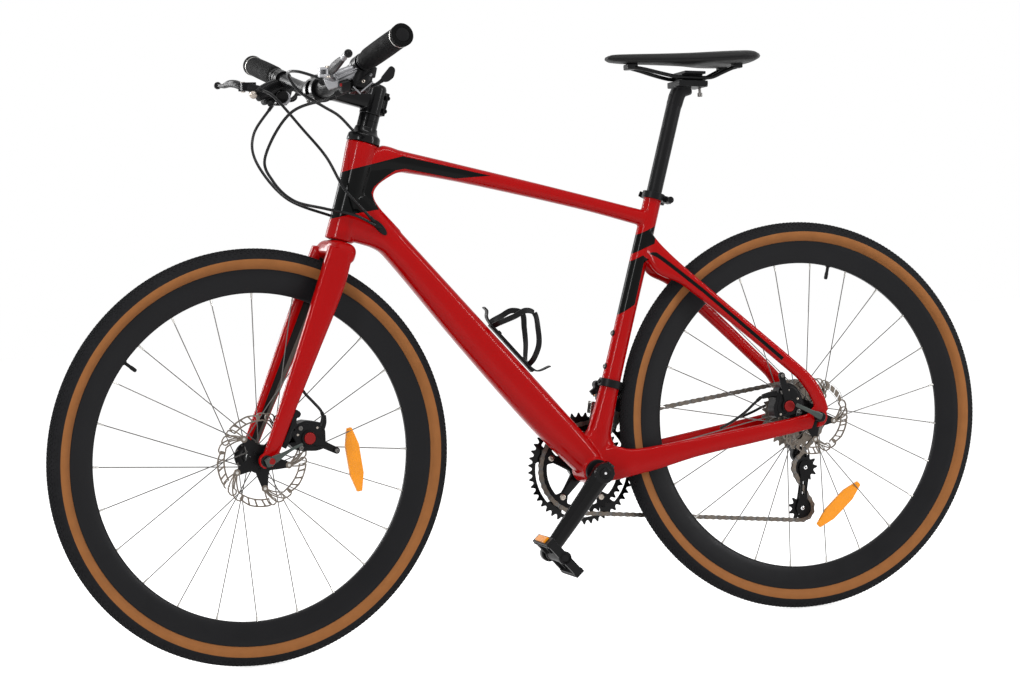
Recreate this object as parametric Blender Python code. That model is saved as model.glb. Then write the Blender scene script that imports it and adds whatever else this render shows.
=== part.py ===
"""A gravel bicycle, built piece by piece: metres, +Z up, front wheel towards -X, drive side +Y.

The origin is on the floor under the middle of the wheelbase. What turns with the handlebar is written as it
lies with the bar straight, and hangs on the steering empty, which turns it to where it is drawn.
"""

from math import asin, atan2, ceil, cos, hypot, pi, radians, sin

import bmesh
import bpy
from mathutils import Matrix, Quaternion, Vector

X = Vector((1, 0, 0))
Y = Vector((0, 1, 0))
Z = Vector((0, 0, 1))

# Driving dimensions
WHEEL_RADIUS = 0.351
HALF_WHEELBASE = 0.506
TYRE_HALF_WIDTH = 0.020
RIM_OUTER = 0.3162
RIM_INNER = 0.2765
SPOKES = 24
SPOKE_RADIUS = 0.0010
FRONT_SPOKE_PHASE = radians(13.3)
REAR_SPOKE_PHASE = radians(7.8)
WHEEL_SIDES = 48
GAP = 0.0003

HEAD_BOTTOM = Vector((-0.3384, 0, 0.7072))
HEAD_TOP = Vector((-0.2868, 0, 0.8710))
STEERED = radians(7.8)
STEERER_RADIUS = 0.0143
BRACKET = Vector((0.094, 0, 0.282))
BRACKET_HALF_WIDTH = 0.034
SEAT_TUBE_SLOPE = 0.3057
SEAT_TUBE_TOP = 0.7655
POST_RADIUS = 0.0136
FRONT_DROPOUT = 0.050
REAR_DROPOUT = 0.0675
AXLE_RADIUS = 0.0048

CRANK_LENGTH = 0.170
CRANK_ANGLE = radians(229)
SPIDER_ANGLE = radians(158)
CHAIN_PITCH = 0.0127
OUTER_RING_TEETH = 48
INNER_RING_TEETH = 39
OUTER_RING_Y = 0.0460
INNER_RING_Y = 0.0410
SPROCKETS = (30, 27, 24, 21, 18, 16, 14, 12, 11)
SPROCKET_SPACING = 0.00434
LARGE_SPROCKET_Y = 0.0278
PULLEY_TEETH = 11
GUIDE_PULLEY = Vector((0.522, 0, 0.252))
TENSION_PULLEY = Vector((0.512, 0, 0.178))

BAR_CENTRE = Vector((-0.3617, 0, 0.963))
BAR_FLAT = 0.045
BAR_RISE = 0.2090
BAR_END = 0.350
GRIP_START = 0.2053
HOUSING_RADIUS = 0.0025

AXIS = (HEAD_TOP - HEAD_BOTTOM).normalized()
FORWARD = Y.cross(AXIS) * -1
HEAD_LENGTH = (HEAD_TOP - HEAD_BOTTOM).length
FRONT_AXLE = Vector((-HALF_WHEELBASE, 0, WHEEL_RADIUS))
REAR_AXLE = Vector((HALF_WHEELBASE, 0, WHEEL_RADIUS))
SEAT_AXIS = Vector((SEAT_TUBE_SLOPE, 0, 1)).normalized()
STEER_TURN = Quaternion(AXIS, STEERED)
AXIS_TURN = Matrix((FORWARD, Y, AXIS)).transposed()

MATERIALS = {
    "red_paint": ((0.48, 0.006, 0.008), 0.0, 0.25),
    "black_metal": ((0.012, 0.012, 0.013), 0.6, 0.35),
    "black_plastic": ((0.015, 0.015, 0.016), 0.0, 0.45),
    "rubber": ((0.018, 0.018, 0.018), 0.0, 0.80),
    "steel": ((0.42, 0.39, 0.35), 1.0, 0.35),
    "silver": ((0.62, 0.62, 0.63), 1.0, 0.30),
    "saddle_cover": ((0.012, 0.012, 0.012), 0.0, 0.55),
    "cable_jacket": ((0.014, 0.014, 0.015), 0.0, 0.40),
}


def material(name):
    """One Principled material for each entry of MATERIALS."""
    found = bpy.data.materials.get(name)
    if found:
        return found
    colour, metallic, roughness = MATERIALS[name]
    made = bpy.data.materials.new(name)
    made.use_nodes = True
    shader = made.node_tree.nodes["Principled BSDF"]
    shader.inputs["Base Color"].default_value = (*colour, 1)
    shader.inputs["Metallic"].default_value = metallic
    shader.inputs["Roughness"].default_value = roughness
    return made


# Shapes

def skin(rings, closed=False):
    """A solid through rings of points; the last ring meets the first one, or both ends are capped."""
    build = bmesh.new()
    loops = [[build.verts.new(point) for point in ring] for ring in rings]
    count = len(loops[0])
    pairs = list(zip(loops, loops[1:]))
    if closed:
        pairs.append((loops[-1], loops[0]))
    else:
        build.faces.new(loops[0])
        build.faces.new(loops[-1])
    for first, second in pairs:
        for i in range(count):
            j = (i + 1) % count
            build.faces.new((first[i], first[j], second[j], second[i]))
    bmesh.ops.recalc_face_normals(build, faces=build.faces)
    mesh = bpy.data.meshes.new("shape")
    build.to_mesh(mesh)
    build.free()
    shape = bpy.data.objects.new("shape", mesh)
    bpy.context.collection.objects.link(shape)
    return shape


def across(axis):
    """Two directions square to an axis: the first one is level."""
    first = X if abs(axis.y) > 0.5 else Y
    first = (first - axis * first.dot(axis)).normalized()
    return first, axis.cross(first)


def turned(profile, origin, axis, sides=16, phase=0.0):
    """A turned solid from (distance along the axis, radius) pairs."""
    first, second = across(axis)
    rings = []
    for along, radius in profile:
        centre = origin + axis * along
        rings.append([
            centre + (first * cos(phase + 2 * pi * i / sides) + second * sin(phase + 2 * pi * i / sides)) * radius
            for i in range(sides)
        ])
    return skin(rings)


def hollow(profile, origin, axis, sides=16, phase=0.0):
    """A turned ring from a closed outline of (distance along the axis, radius) pairs."""
    first, second = across(axis)
    rings = []
    for i in range(sides):
        angle = phase + 2 * pi * i / sides
        outward = first * cos(angle) + second * sin(angle)
        rings.append([origin + axis * along + outward * radius for along, radius in profile])
    return skin(rings, closed=True)


def rod(start, end, radius, sides=12):
    """A straight round bar between two points."""
    line = Vector(end) - Vector(start)
    return turned([(0, radius), (line.length, radius)], Vector(start), line.normalized(), sides)


def oval(centre, half_up, half_side, sides=16, squareness=2.0):
    """A ring of points round a centre, between an ellipse and, as squareness grows, a rectangle."""
    ring = []
    for i in range(sides):
        c = cos(2 * pi * i / sides)
        s = sin(2 * pi * i / sides)
        power = 2 / squareness
        up = abs(c) ** power * (1 if c >= 0 else -1)
        side = abs(s) ** power * (1 if s >= 0 else -1)
        ring.append(centre + half_up * up + half_side * side)
    return ring


def edge_loft(stations, sides=16, squareness=2.0):
    """A tube from its two edges as seen from the side: (upper x, z, lower x, z, middle y, half width)."""
    rings = []
    for upper_x, upper_z, lower_x, lower_z, middle, half_width in stations:
        upper = Vector((upper_x, middle, upper_z))
        lower = Vector((lower_x, middle, lower_z))
        rings.append(oval((upper + lower) / 2, (upper - lower) / 2, Y * half_width, sides, squareness))
    return skin(rings)


def sweep(points, half_up, half_side, sides=8, squareness=2.0, side=Y):
    """A bar along a route; its section keeps one side direction as level as the route allows."""
    points = [Vector(point) for point in points]
    rings = []
    for i, point in enumerate(points):
        ahead = points[min(i + 1, len(points) - 1)]
        behind = points[max(i - 1, 0)]
        along = (ahead - behind).normalized()
        level = (side - along * side.dot(along)).normalized()
        up = level.cross(along)
        rings.append(oval(point, up * half_up, level * half_side, sides, squareness))
    return skin(rings)


def prism(outline, low, high):
    """An outline of (x, z) points drawn out from y = low to y = high."""
    return skin([[Vector((x, y, z)) for x, z in outline] for y in (low, high)])


def disc(centre, radius, low, high, sides=16, phase=0.0):
    """A round plate across the bicycle."""
    return turned([(low, radius), (high, radius)], Vector((centre.x, 0, centre.z)), Y, sides, phase)


def block(centre, size, turn=None):
    """A box, turned about its own centre."""
    turn = turn or Matrix.Identity(3)
    half = Vector(size) / 2
    corners = [(-1, -1), (1, -1), (1, 1), (-1, 1)]
    rings = [[
        Vector(centre) + turn @ Vector((half.x * a, half.y * b, half.z * c)) for a, b in corners
    ] for c in (-1, 1)]
    return skin(rings)


def bar_between(start, end, width, depth, side=Y):
    """A rectangular bar from one point to another: width goes across, depth is square to that."""
    start, end = Vector(start), Vector(end)
    along = (end - start).normalized()
    level = (side - along * side.dot(along)).normalized() * width / 2
    up = level.cross(along).normalized() * depth / 2
    corners = [(-1, -1), (1, -1), (1, 1), (-1, 1)]
    return skin([[point + level * a + up * b for a, b in corners] for point in (start, end)])


def together(shapes):
    """Shapes that don't meet, as one object for one Boolean."""
    build = bmesh.new()
    for shape in shapes:
        build.from_mesh(shape.data)
        bpy.data.objects.remove(shape)
    mesh = bpy.data.meshes.new("shape")
    build.to_mesh(mesh)
    build.free()
    made = bpy.data.objects.new("shape", mesh)
    bpy.context.collection.objects.link(made)
    return made


def combine(base, joins=(), cuts=()):
    """Joins, then cuts, by exact Booleans, and keeps only the result."""
    tools = [("UNION", tool) for tool in joins] + [("DIFFERENCE", tool) for tool in cuts]
    for operation, tool in tools:
        boolean = base.modifiers.new("boolean", "BOOLEAN")
        boolean.operation = operation
        boolean.solver = "EXACT"
        boolean.object = tool
    bpy.context.view_layer.update()
    graph = bpy.context.evaluated_depsgraph_get()
    mesh = bpy.data.meshes.new_from_object(base.evaluated_get(graph))
    base.modifiers.clear()
    base.data = mesh
    for _, tool in tools:
        bpy.data.objects.remove(tool)
    return base


def mirrored(shape):
    """A copy of a shape on the other side of the bicycle."""
    build = bmesh.new()
    build.from_mesh(shape.data)
    bmesh.ops.scale(build, vec=(1, -1, 1), verts=build.verts)
    bmesh.ops.reverse_faces(build, faces=build.faces)
    mesh = bpy.data.meshes.new("shape")
    build.to_mesh(mesh)
    build.free()
    made = bpy.data.objects.new("shape", mesh)
    bpy.context.collection.objects.link(made)
    return made


def part(name, shape, finish, pivot=(0, 0, 0), parent=None):
    """Turns a shape into a named piece, with its origin on its own joint and its parent's place taken off."""
    pivot = Vector(pivot)
    shape.name = name
    shape.data.name = name
    shape.data.transform(Matrix.Translation(-pivot))
    shape.location = pivot
    if parent:
        shape.parent = parent
        shape.location = pivot - HEAD_BOTTOM
    shape.data.materials.clear()
    shape.data.materials.append(material(finish))
    shape.data.shade_smooth()
    shape.data.set_sharp_from_angle(angle=radians(35))
    return shape


def smooth_route(points, spacing):
    """Points at even steps on a smooth curve through the given ones."""
    points = [Vector(point) for point in points]
    padded = [points[0] * 2 - points[1], *points, points[-1] * 2 - points[-2]]
    fine = []
    for a, b, c, d in zip(padded, padded[1:], padded[2:], padded[3:]):
        for step in range(20):
            t = step / 20
            fine.append(0.5 * (
                2 * b + (c - a) * t + (2 * a - 5 * b + 4 * c - d) * t ** 2 + (3 * b - a - 3 * c + d) * t ** 3
            ))
    fine.append(points[-1])
    total = sum((q - p).length for p, q in zip(fine, fine[1:]))
    count = max(2, round(total / spacing))
    made = [fine[0]]
    walked = 0.0
    for p, q in zip(fine, fine[1:]):
        length = (q - p).length
        while len(made) < count and walked + length >= total * len(made) / count:
            made.append(p.lerp(q, (total * len(made) / count - walked) / length))
        walked += length
    made.append(fine[-1])
    return made


def housing(name, points, parent=None, radius=HOUSING_RADIUS):
    """A cable in its jacket, as a round curve through its route."""
    curve = bpy.data.curves.new(name, "CURVE")
    curve.dimensions = "3D"
    curve.bevel_depth = radius
    curve.bevel_resolution = 2
    curve.use_fill_caps = True
    curve.render_resolution_u = 0
    route = smooth_route(points, 5.6 * radius)
    spline = curve.splines.new("POLY")
    spline.points.add(len(route) - 1)
    origin = HEAD_BOTTOM if parent else Vector()
    for point, place in zip(spline.points, route):
        point.co = (*(place - origin), 1)
    made = bpy.data.objects.new(name, curve)
    bpy.context.collection.objects.link(made)
    made.parent = parent
    curve.materials.append(material("cable_jacket"))
    return made


def empty(name, place, turn=None):
    made = bpy.data.objects.new(name, None)
    bpy.context.collection.objects.link(made)
    made.location = place
    if turn:
        made.rotation_mode = "QUATERNION"
        made.rotation_quaternion = turn
    return made


def steered(x, y, z):
    """Where a point that turns with the bar lies once the bar is turned."""
    return HEAD_BOTTOM + STEER_TURN @ (Vector((x, y, z)) - HEAD_BOTTOM)


def on_axis(along, forward=0.0, side=0.0):
    """A point measured from the bottom of the head tube: up the steering axis, forward of it, to the right."""
    return HEAD_BOTTOM + AXIS * along + FORWARD * forward + Y * side


def seat_point(height):
    """The point of the seat tube's axis at a height."""
    return Vector((BRACKET.x + SEAT_TUBE_SLOPE * (height - BRACKET.z), 0, height))


def pitch_radius(teeth):
    """The radius at which a chain lies on a toothed wheel."""
    return CHAIN_PITCH / (2 * sin(pi / teeth))


# Frame

def head_tube():
    return turned(
        [(0, 0.0245), (0.012, 0.0245), (0.030, 0.0238), (0.120, 0.0248), (0.155, 0.0270), (HEAD_LENGTH, 0.0275)],
        HEAD_BOTTOM, AXIS, 20,
    )


def top_tube():
    stations = []
    for x, top, depth, half_width in (
        (-0.2850, 0.8640, 0.0420, 0.0190), (-0.2570, 0.8603, 0.0400, 0.0195), (-0.2258, 0.8573, 0.0374, 0.0195),
        (-0.1700, 0.8421, 0.0330, 0.0190), (-0.1156, 0.8273, 0.0300, 0.0180), (0.1140, 0.7648, 0.0264, 0.0152),
        (0.2010, 0.7411, 0.0288, 0.0142), (0.2250, 0.7345, 0.0300, 0.0135),
    ):
        stations.append((x, top, x, top - depth, 0, half_width))
    return edge_loft(stations, 12, 2.4)


def head_gusset():
    """The web that rounds off the corner of the main triangle behind the head tube."""
    return prism([
        (-0.2900, 0.8420), (-0.2416, 0.8260), (-0.2416, 0.8136), (-0.2600, 0.8020), (-0.2694, 0.7907),
        (-0.2672, 0.7720), (-0.2595, 0.7493), (-0.2379, 0.7244), (-0.2500, 0.7100), (-0.3050, 0.7500),
    ], -0.0140, 0.0140)


def down_tube():
    return edge_loft([
        (-0.3000, 0.8000, -0.3400, 0.7120, 0, 0.0215),
        (-0.2740, 0.7690, -0.3020, 0.7000, 0, 0.0230),
        (-0.2550, 0.7466, -0.2800, 0.6920, 0, 0.0240),
        (-0.2250, 0.7115, -0.2600, 0.6770, 0, 0.0250),
        (-0.0862, 0.5490, -0.1323, 0.5119, 0, 0.0260),
        (0.0335, 0.4089, -0.0145, 0.3678, 0, 0.0285),
        (0.1080, 0.3150, 0.0650, 0.2840, 0, 0.0310),
        (0.1120, 0.2950, 0.0850, 0.2680, 0, 0.0290),
    ], 12, 2.6)


def seat_tube():
    rings = []
    for height, half_depth, half_width in (
        (0.282, 0.0180, 0.0200), (0.300, 0.0255, 0.0200), (0.330, 0.0240, 0.0195), (0.360, 0.0210, 0.0185),
        (0.420, 0.0175, 0.0170), (0.520, 0.0163, 0.0160), (SEAT_TUBE_TOP, 0.0159, 0.0159),
    ):
        level = SEAT_AXIS.cross(Y).normalized()
        rings.append(oval(seat_point(height), level * half_depth, Y * half_width, 16))
    return skin(rings)


def chainstay():
    return edge_loft([
        (0.1120, 0.3080, 0.1040, 0.2620, 0.0180, 0.0120),
        (0.1530, 0.3148, 0.1420, 0.2640, 0.0265, 0.0092),
        (0.1800, 0.3168, 0.1740, 0.2700, 0.0292, 0.0080),
        (0.2148, 0.3203, 0.2124, 0.2780, 0.0360, 0.0085),
        (0.2853, 0.3292, 0.2834, 0.2956, 0.0465, 0.0090),
        (0.3978, 0.3438, 0.4010, 0.3147, 0.0605, 0.0080),
        (0.4500, 0.3510, 0.4540, 0.3236, 0.0663, 0.0072),
        (0.4900, 0.3580, 0.4960, 0.3305, 0.0712, 0.0032),
    ], 10, 3.0)


def seatstay():
    return edge_loft([
        (0.2205, 0.7060, 0.2120, 0.6560, 0.0110, 0.0060),
        (0.2440, 0.6700, 0.2300, 0.6230, 0.0230, 0.0085),
        (0.2900, 0.6220, 0.2740, 0.5990, 0.0330, 0.0085),
        (0.4827, 0.4423, 0.4670, 0.4270, 0.0650, 0.0080),
        (0.5030, 0.4200, 0.4830, 0.4060, 0.0685, 0.0072),
        (0.5200, 0.3900, 0.4960, 0.3820, 0.0705, 0.0050),
        (0.5290, 0.3620, 0.5030, 0.3560, 0.0712, 0.0032),
    ], 10, 3.0)


def axle_cuts(centre, inner, thickness, slot_end):
    """A dropout's hole for the axle, and the slot that opens it towards slot_end."""
    hole = disc(centre, AXLE_RADIUS + 0.0005, inner - 0.005, inner + thickness + 0.005, 12)
    middle = centre + Y * (inner + thickness / 2)
    slot = bar_between(middle, middle + slot_end, thickness + 0.010, 2 * AXLE_RADIUS + 0.0006)
    return hole, slot


def rear_bridge():
    return rod((0.2660, -0.030, 0.6290), (0.2660, 0.030, 0.6290), 0.0065, 10)


def lower_bridge():
    return rod((0.1420, -0.028, 0.2900), (0.1420, 0.028, 0.2900), 0.0080, 10)


def build_frame():
    joins = [top_tube(), down_tube(), head_gusset(), seat_tube(), turned(
        [(-BRACKET_HALF_WIDTH, 0.0235), (BRACKET_HALF_WIDTH, 0.0235)], BRACKET, Y, 20
    )]
    cuts = []
    plate = disc(REAR_AXLE, 0.0190, REAR_DROPOUT, REAR_DROPOUT + 0.0070, 16)
    for shape in (chainstay(), seatstay(), plate):
        joins += [shape, mirrored(shape)]
    joins += [rear_bridge(), lower_bridge()]
    for shape in axle_cuts(REAR_AXLE, REAR_DROPOUT, 0.0070, Vector((-0.012, 0, -0.030))):
        cuts += [shape, mirrored(shape)]
    cuts += [
        turned([(-0.02, 0.0180), (HEAD_LENGTH + 0.02, 0.0180)], HEAD_BOTTOM, AXIS, 16),
        turned([(-0.02, 0.0210), (0.008, 0.0210)], HEAD_BOTTOM, AXIS, 20),
        turned([(-0.008, 0.0210), (0.02, 0.0210)], HEAD_TOP, AXIS, 20),
        turned([(-0.05, 0.0175), (0.05, 0.0175)], BRACKET, Y, 16),
        rod(seat_point(0.520), seat_point(SEAT_TUBE_TOP + 0.02), 0.0140, 16),
    ]
    part("frame", combine(head_tube(), joins, cuts), "red_paint")


def build_bearings():
    for name, start in (("lower_headset_bearing", GAP), ("upper_headset_bearing", HEAD_LENGTH - 0.008 + GAP)):
        low, high = start, start + 0.008 - 2 * GAP
        ring = hollow([(low, 0.0148), (high, 0.0148), (high, 0.0205), (low, 0.0205)], HEAD_BOTTOM, AXIS, 20)
        part(name, ring, "steel")
    low, high = BRACKET_HALF_WIDTH + GAP, 0.0412
    profile = [
        (low - 0.012, 0.0123), (high, 0.0123), (high, 0.0205), (high - 0.003, 0.0215), (low, 0.0215),
        (low, 0.0168), (low - 0.012, 0.0168),
    ]
    part("right_bottom_bracket_cup", hollow(profile, BRACKET, Y, 16), "black_metal")
    profile = [(-along, radius) for along, radius in profile]
    part("left_bottom_bracket_cup", hollow(profile, BRACKET, Y, 16), "black_metal")


def build_seat_collar():
    middle = seat_point(SEAT_TUBE_TOP - 0.006)
    low, high = -0.0055, 0.0065
    ring = hollow([(low, 0.0164), (high, 0.0164), (high, 0.0200), (low, 0.0200)], middle, SEAT_AXIS, 16)
    back = SEAT_AXIS.cross(Y).normalized()
    back = back if back.x > 0 else -back
    ears = bar_between(middle + back * 0.0180, middle + back * 0.0330, 0.0160, 0.0115)
    slit = bar_between(middle + back * 0.0100, middle + back * 0.0380, 0.0022, 0.0300)
    ring = combine(ring, [ears], [slit])
    skewer = middle + back * 0.0272
    ring = combine(ring, [
        rod(skewer - Y * 0.0190, skewer + Y * 0.0195, 0.0026, 8),
        rod(skewer - Y * 0.0190, skewer - Y * 0.0075, 0.0060, 10),
    ])
    part("seat_collar", ring, "black_metal")
    pivot = skewer + Y * 0.0262
    lever = combine(
        rod(pivot - SEAT_AXIS * 0.0070, pivot + SEAT_AXIS * 0.0070, 0.0062, 10),
        [sweep([
            pivot, pivot - back * 0.0120 + Y * 0.0010, pivot - back * 0.0300 - Y * 0.0012,
            pivot - back * 0.0450 - Y * 0.0010 + SEAT_AXIS * 0.0020,
        ], 0.0055, 0.0016, 8, 3.0)],
    )
    part("seat_clamp_lever", lever, "black_metal", pivot)


def build_bottle_cage():
    """A moulded cage on the down tube: a spine, a tab at each end, and a wing up each side."""
    along = Vector((0.6497, 0, -0.7602))
    out = Vector((0.7602, 0, 0.6497))
    base = Vector((-0.0790, 0, 0.5475)) + out * 0.0012
    spine = sweep(
        [base + out * 0.0015, base + along * 0.050 + out * 0.0015, base + along * 0.112 + out * 0.0015],
        0.0028, 0.0090, 8, 4.0,
    )
    top_tab = sweep([
        base + along * 0.004 + out * 0.002, base - along * 0.014 + out * 0.006, base - along * 0.022 + out * 0.014,
        base - along * 0.030 + out * 0.014,
    ], 0.0014, 0.0080, 8, 4.0)
    foot = sweep([
        base + along * 0.098 + out * 0.002, base + along * 0.118 + out * 0.008, base + along * 0.128 + out * 0.030,
    ], 0.0014, 0.0085, 8, 4.0)
    wings = []
    for side in (-1, 1):
        wings.append(sweep([
            base + along * 0.004 + out * 0.003 + Y * side * 0.006,
            base + along * 0.004 + out * 0.012 + Y * side * 0.028,
            base + along * 0.012 + out * 0.036 + Y * side * 0.0385,
            base + along * 0.018 + out * 0.056 + Y * side * 0.0385,
            base + along * 0.034 + out * 0.066 + Y * side * 0.034,
            base + along * 0.056 + out * 0.052 + Y * side * 0.0375,
            base + along * 0.078 + out * 0.034 + Y * side * 0.036,
            base + along * 0.092 + out * 0.014 + Y * side * 0.024,
            base + along * 0.098 + out * 0.003 + Y * side * 0.006,
        ], 0.0016, 0.0050, 8, 3.0, side=along))
    part("bottle_cage", combine(spine, [top_tab, foot, *wings]), "black_plastic")


# Steering

def fork_leg():
    stations = [
        (-0.3705, 0.7015, -0.3300, 0.6850, 0.0390, 0.0120),
        (-0.3925, 0.6482, -0.3487, 0.6318, 0.0430, 0.0115),
        (-0.4350, 0.5427, -0.3995, 0.5300, 0.0490, 0.0105),
        (-0.4774, 0.4370, -0.4510, 0.4273, 0.0535, 0.0085),
        (-0.5055, 0.3705, -0.4817, 0.3610, 0.0555, 0.0054),
        (-0.5095, 0.3590, -0.4885, 0.3500, 0.0555, 0.0052),
    ]
    return edge_loft(stations, 12, 2.6)


def fork_crown():
    rings = []
    for side, along, half_along, half_forward in (
        (-0.0500, -0.0250, 0.0100, 0.0150), (-0.0420, -0.0215, 0.0165, 0.0205), (-0.0240, -0.0175, 0.0165, 0.0238),
        (0.0000, -0.0166, 0.0160, 0.0245),
        (0.0240, -0.0175, 0.0165, 0.0238), (0.0420, -0.0215, 0.0165, 0.0205), (0.0500, -0.0250, 0.0100, 0.0150),
    ):
        rings.append(oval(on_axis(along, 0, side), AXIS * half_along, FORWARD * half_forward, 16, 2.8))
    return skin(rings)


def build_fork(steering):
    crown = fork_crown()
    leg = fork_leg()
    end = Vector((-0.5035, 0, WHEEL_RADIUS))
    plate = disc(end, 0.0135, FRONT_DROPOUT, FRONT_DROPOUT + 0.0110, 16)
    hole, slot = axle_cuts(FRONT_AXLE, FRONT_DROPOUT, 0.0110, Vector((0, 0, -0.030)))
    steerer = turned([(-0.012, STEERER_RADIUS), (0.2680, STEERER_RADIUS)], HEAD_BOTTOM, AXIS, 16)
    fork = combine(
        crown, [leg, mirrored(leg), plate, mirrored(plate), steerer], [hole, mirrored(hole), slot, mirrored(slot)]
    )
    part("fork", fork, "red_paint", HEAD_BOTTOM, steering)


def build_headset_cover(steering):
    ring = hollow([
        (0.1723, 0.0147), (0.1723, 0.0285), (0.1760, 0.0280), (0.1970, 0.0195), (0.1990, 0.0175),
        (0.2215, 0.0175), (0.2215, 0.0147),
    ], HEAD_BOTTOM, AXIS, 20)
    part("headset_cover", ring, "black_plastic", HEAD_BOTTOM, steering)


def build_stem(steering):
    """The stem grips the steerer and the bar; its faceplate is the front half of the bar clamp."""
    low, high = 0.2222, 0.2690
    clamp = turned([(low, 0.0185), (high, 0.0185), (high + 0.0065, 0.0150)], HEAD_BOTTOM, AXIS, 20)
    middle = on_axis((low + high) / 2)
    forward = (BAR_CENTRE - middle).normalized()
    up = forward.cross(Y).normalized()
    up = up if up.z > 0 else -up
    neck = skin([
        oval(middle, up * 0.0165, Y * 0.0150, 12, 2.8),
        oval(middle.lerp(BAR_CENTRE, 0.45), up * 0.0142, Y * 0.0135, 12, 2.8),
        oval(middle.lerp(BAR_CENTRE, 0.84), up * 0.0130, Y * 0.0160, 12, 2.8),
    ])
    ears = block(on_axis((low + high) / 2, -0.0180), (0.0120, 0.0170, 0.0400), AXIS_TURN)
    clamp_ring = turned([(-0.0215, 0.0222), (0.0215, 0.0222)], BAR_CENTRE, Y, 20)
    cap_space = bar_between(BAR_CENTRE - forward * 0.0002, BAR_CENTRE + forward * 0.040, 0.080, 0.080)
    stem = combine(
        clamp, [neck, clamp_ring, ears],
        [
            turned([(low - 0.01, STEERER_RADIUS + 0.0005), (0.2684 + GAP, STEERER_RADIUS + 0.0005)],
                   HEAD_BOTTOM, AXIS, 16),
            turned([(-0.05, 0.0168), (0.05, 0.0168)], BAR_CENTRE, Y, 12),
            cap_space,
            bar_between(on_axis(0.2455, -0.0130), on_axis(0.2455, -0.0350), 0.0022, 0.0600),
        ],
    )
    bolts = [
        rod(on_axis(along, -0.0205, -0.0120), on_axis(along, -0.0205, 0.0105), 0.0028, 8)
        for along in (0.2340, 0.2570)
    ]
    part("stem", combine(stem, bolts), "black_metal", HEAD_BOTTOM, steering)

    face = turned([(-0.0215, 0.0222), (0.0215, 0.0222)], BAR_CENTRE, Y, 20)
    lugs = [
        bar_between(BAR_CENTRE + up * spread, BAR_CENTRE + up * spread + forward * 0.010, 0.0400, 0.0085)
        for spread in (-0.0205, 0.0205)
    ]
    face = combine(face, lugs, [
        turned([(-0.05, 0.0168), (0.05, 0.0168)], BAR_CENTRE, Y, 12),
        bar_between(BAR_CENTRE + forward * 0.0010, BAR_CENTRE - forward * 0.040, 0.080, 0.080),
    ])
    heads = [
        rod(BAR_CENTRE + up * a * 0.0205 + Y * b * 0.0150 + forward * 0.0060,
            BAR_CENTRE + up * a * 0.0205 + Y * b * 0.0150 + forward * 0.0135, 0.0036, 8)
        for a in (-1, 1) for b in (-1, 1)
    ]
    part("stem_faceplate", combine(face, heads), "black_metal", HEAD_BOTTOM, steering)


def bar_point(side):
    """The handlebar's centre line at a distance to the right of the stem."""
    reach = abs(side)
    rise = BAR_RISE * max(0.0, reach - BAR_FLAT)
    soften = 0.0020 * max(0.0, 1 - abs(reach - BAR_FLAT) / 0.03)
    back = 0.0070 * (reach / BAR_END) ** 2
    return BAR_CENTRE + Vector((back, side, rise + soften))


def bar_direction(side):
    return (bar_point(side + 0.002) - bar_point(side - 0.002)).normalized()


def build_handlebar(steering):
    half = [
        (0.0, 0.0159), (0.026, 0.0159), (0.036, 0.0150), (0.048, 0.0138), (0.062, 0.0126), (0.085, 0.0115),
        (0.115, 0.0111), (0.200, 0.0111), (BAR_END, 0.0111),
    ]
    whole = [(-side, radius) for side, radius in reversed(half[1:])] + half
    rings = []
    for side, radius in whole:
        along = bar_direction(side)
        level = X - along * X.dot(along)
        level.normalize()
        second = along.cross(level)
        rings.append([
            bar_point(side) + (level * cos(2 * pi * i / 12) + second * sin(2 * pi * i / 12)) * radius
            for i in range(12)
        ])
    part("handlebar", skin(rings), "black_metal", HEAD_BOTTOM, steering)
    for name, side in (("left_grip", -1), ("right_grip", 1)):
        start = bar_point(side * GRIP_START)
        end = bar_point(side * (BAR_END + 0.0032))
        along = (end - start).normalized()
        length = (end - start).length
        outline = [
            (0, 0.0118), (0, 0.0178), (0.007, 0.0178), (0.010, 0.0164), (0.075, 0.0176), (length - 0.014, 0.0172),
            (length - 0.010, 0.0186), (length, 0.0184), (length, 0.0118),
        ]
        part(name, hollow(outline, start, along, 12), "rubber", HEAD_BOTTOM, steering)


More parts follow.
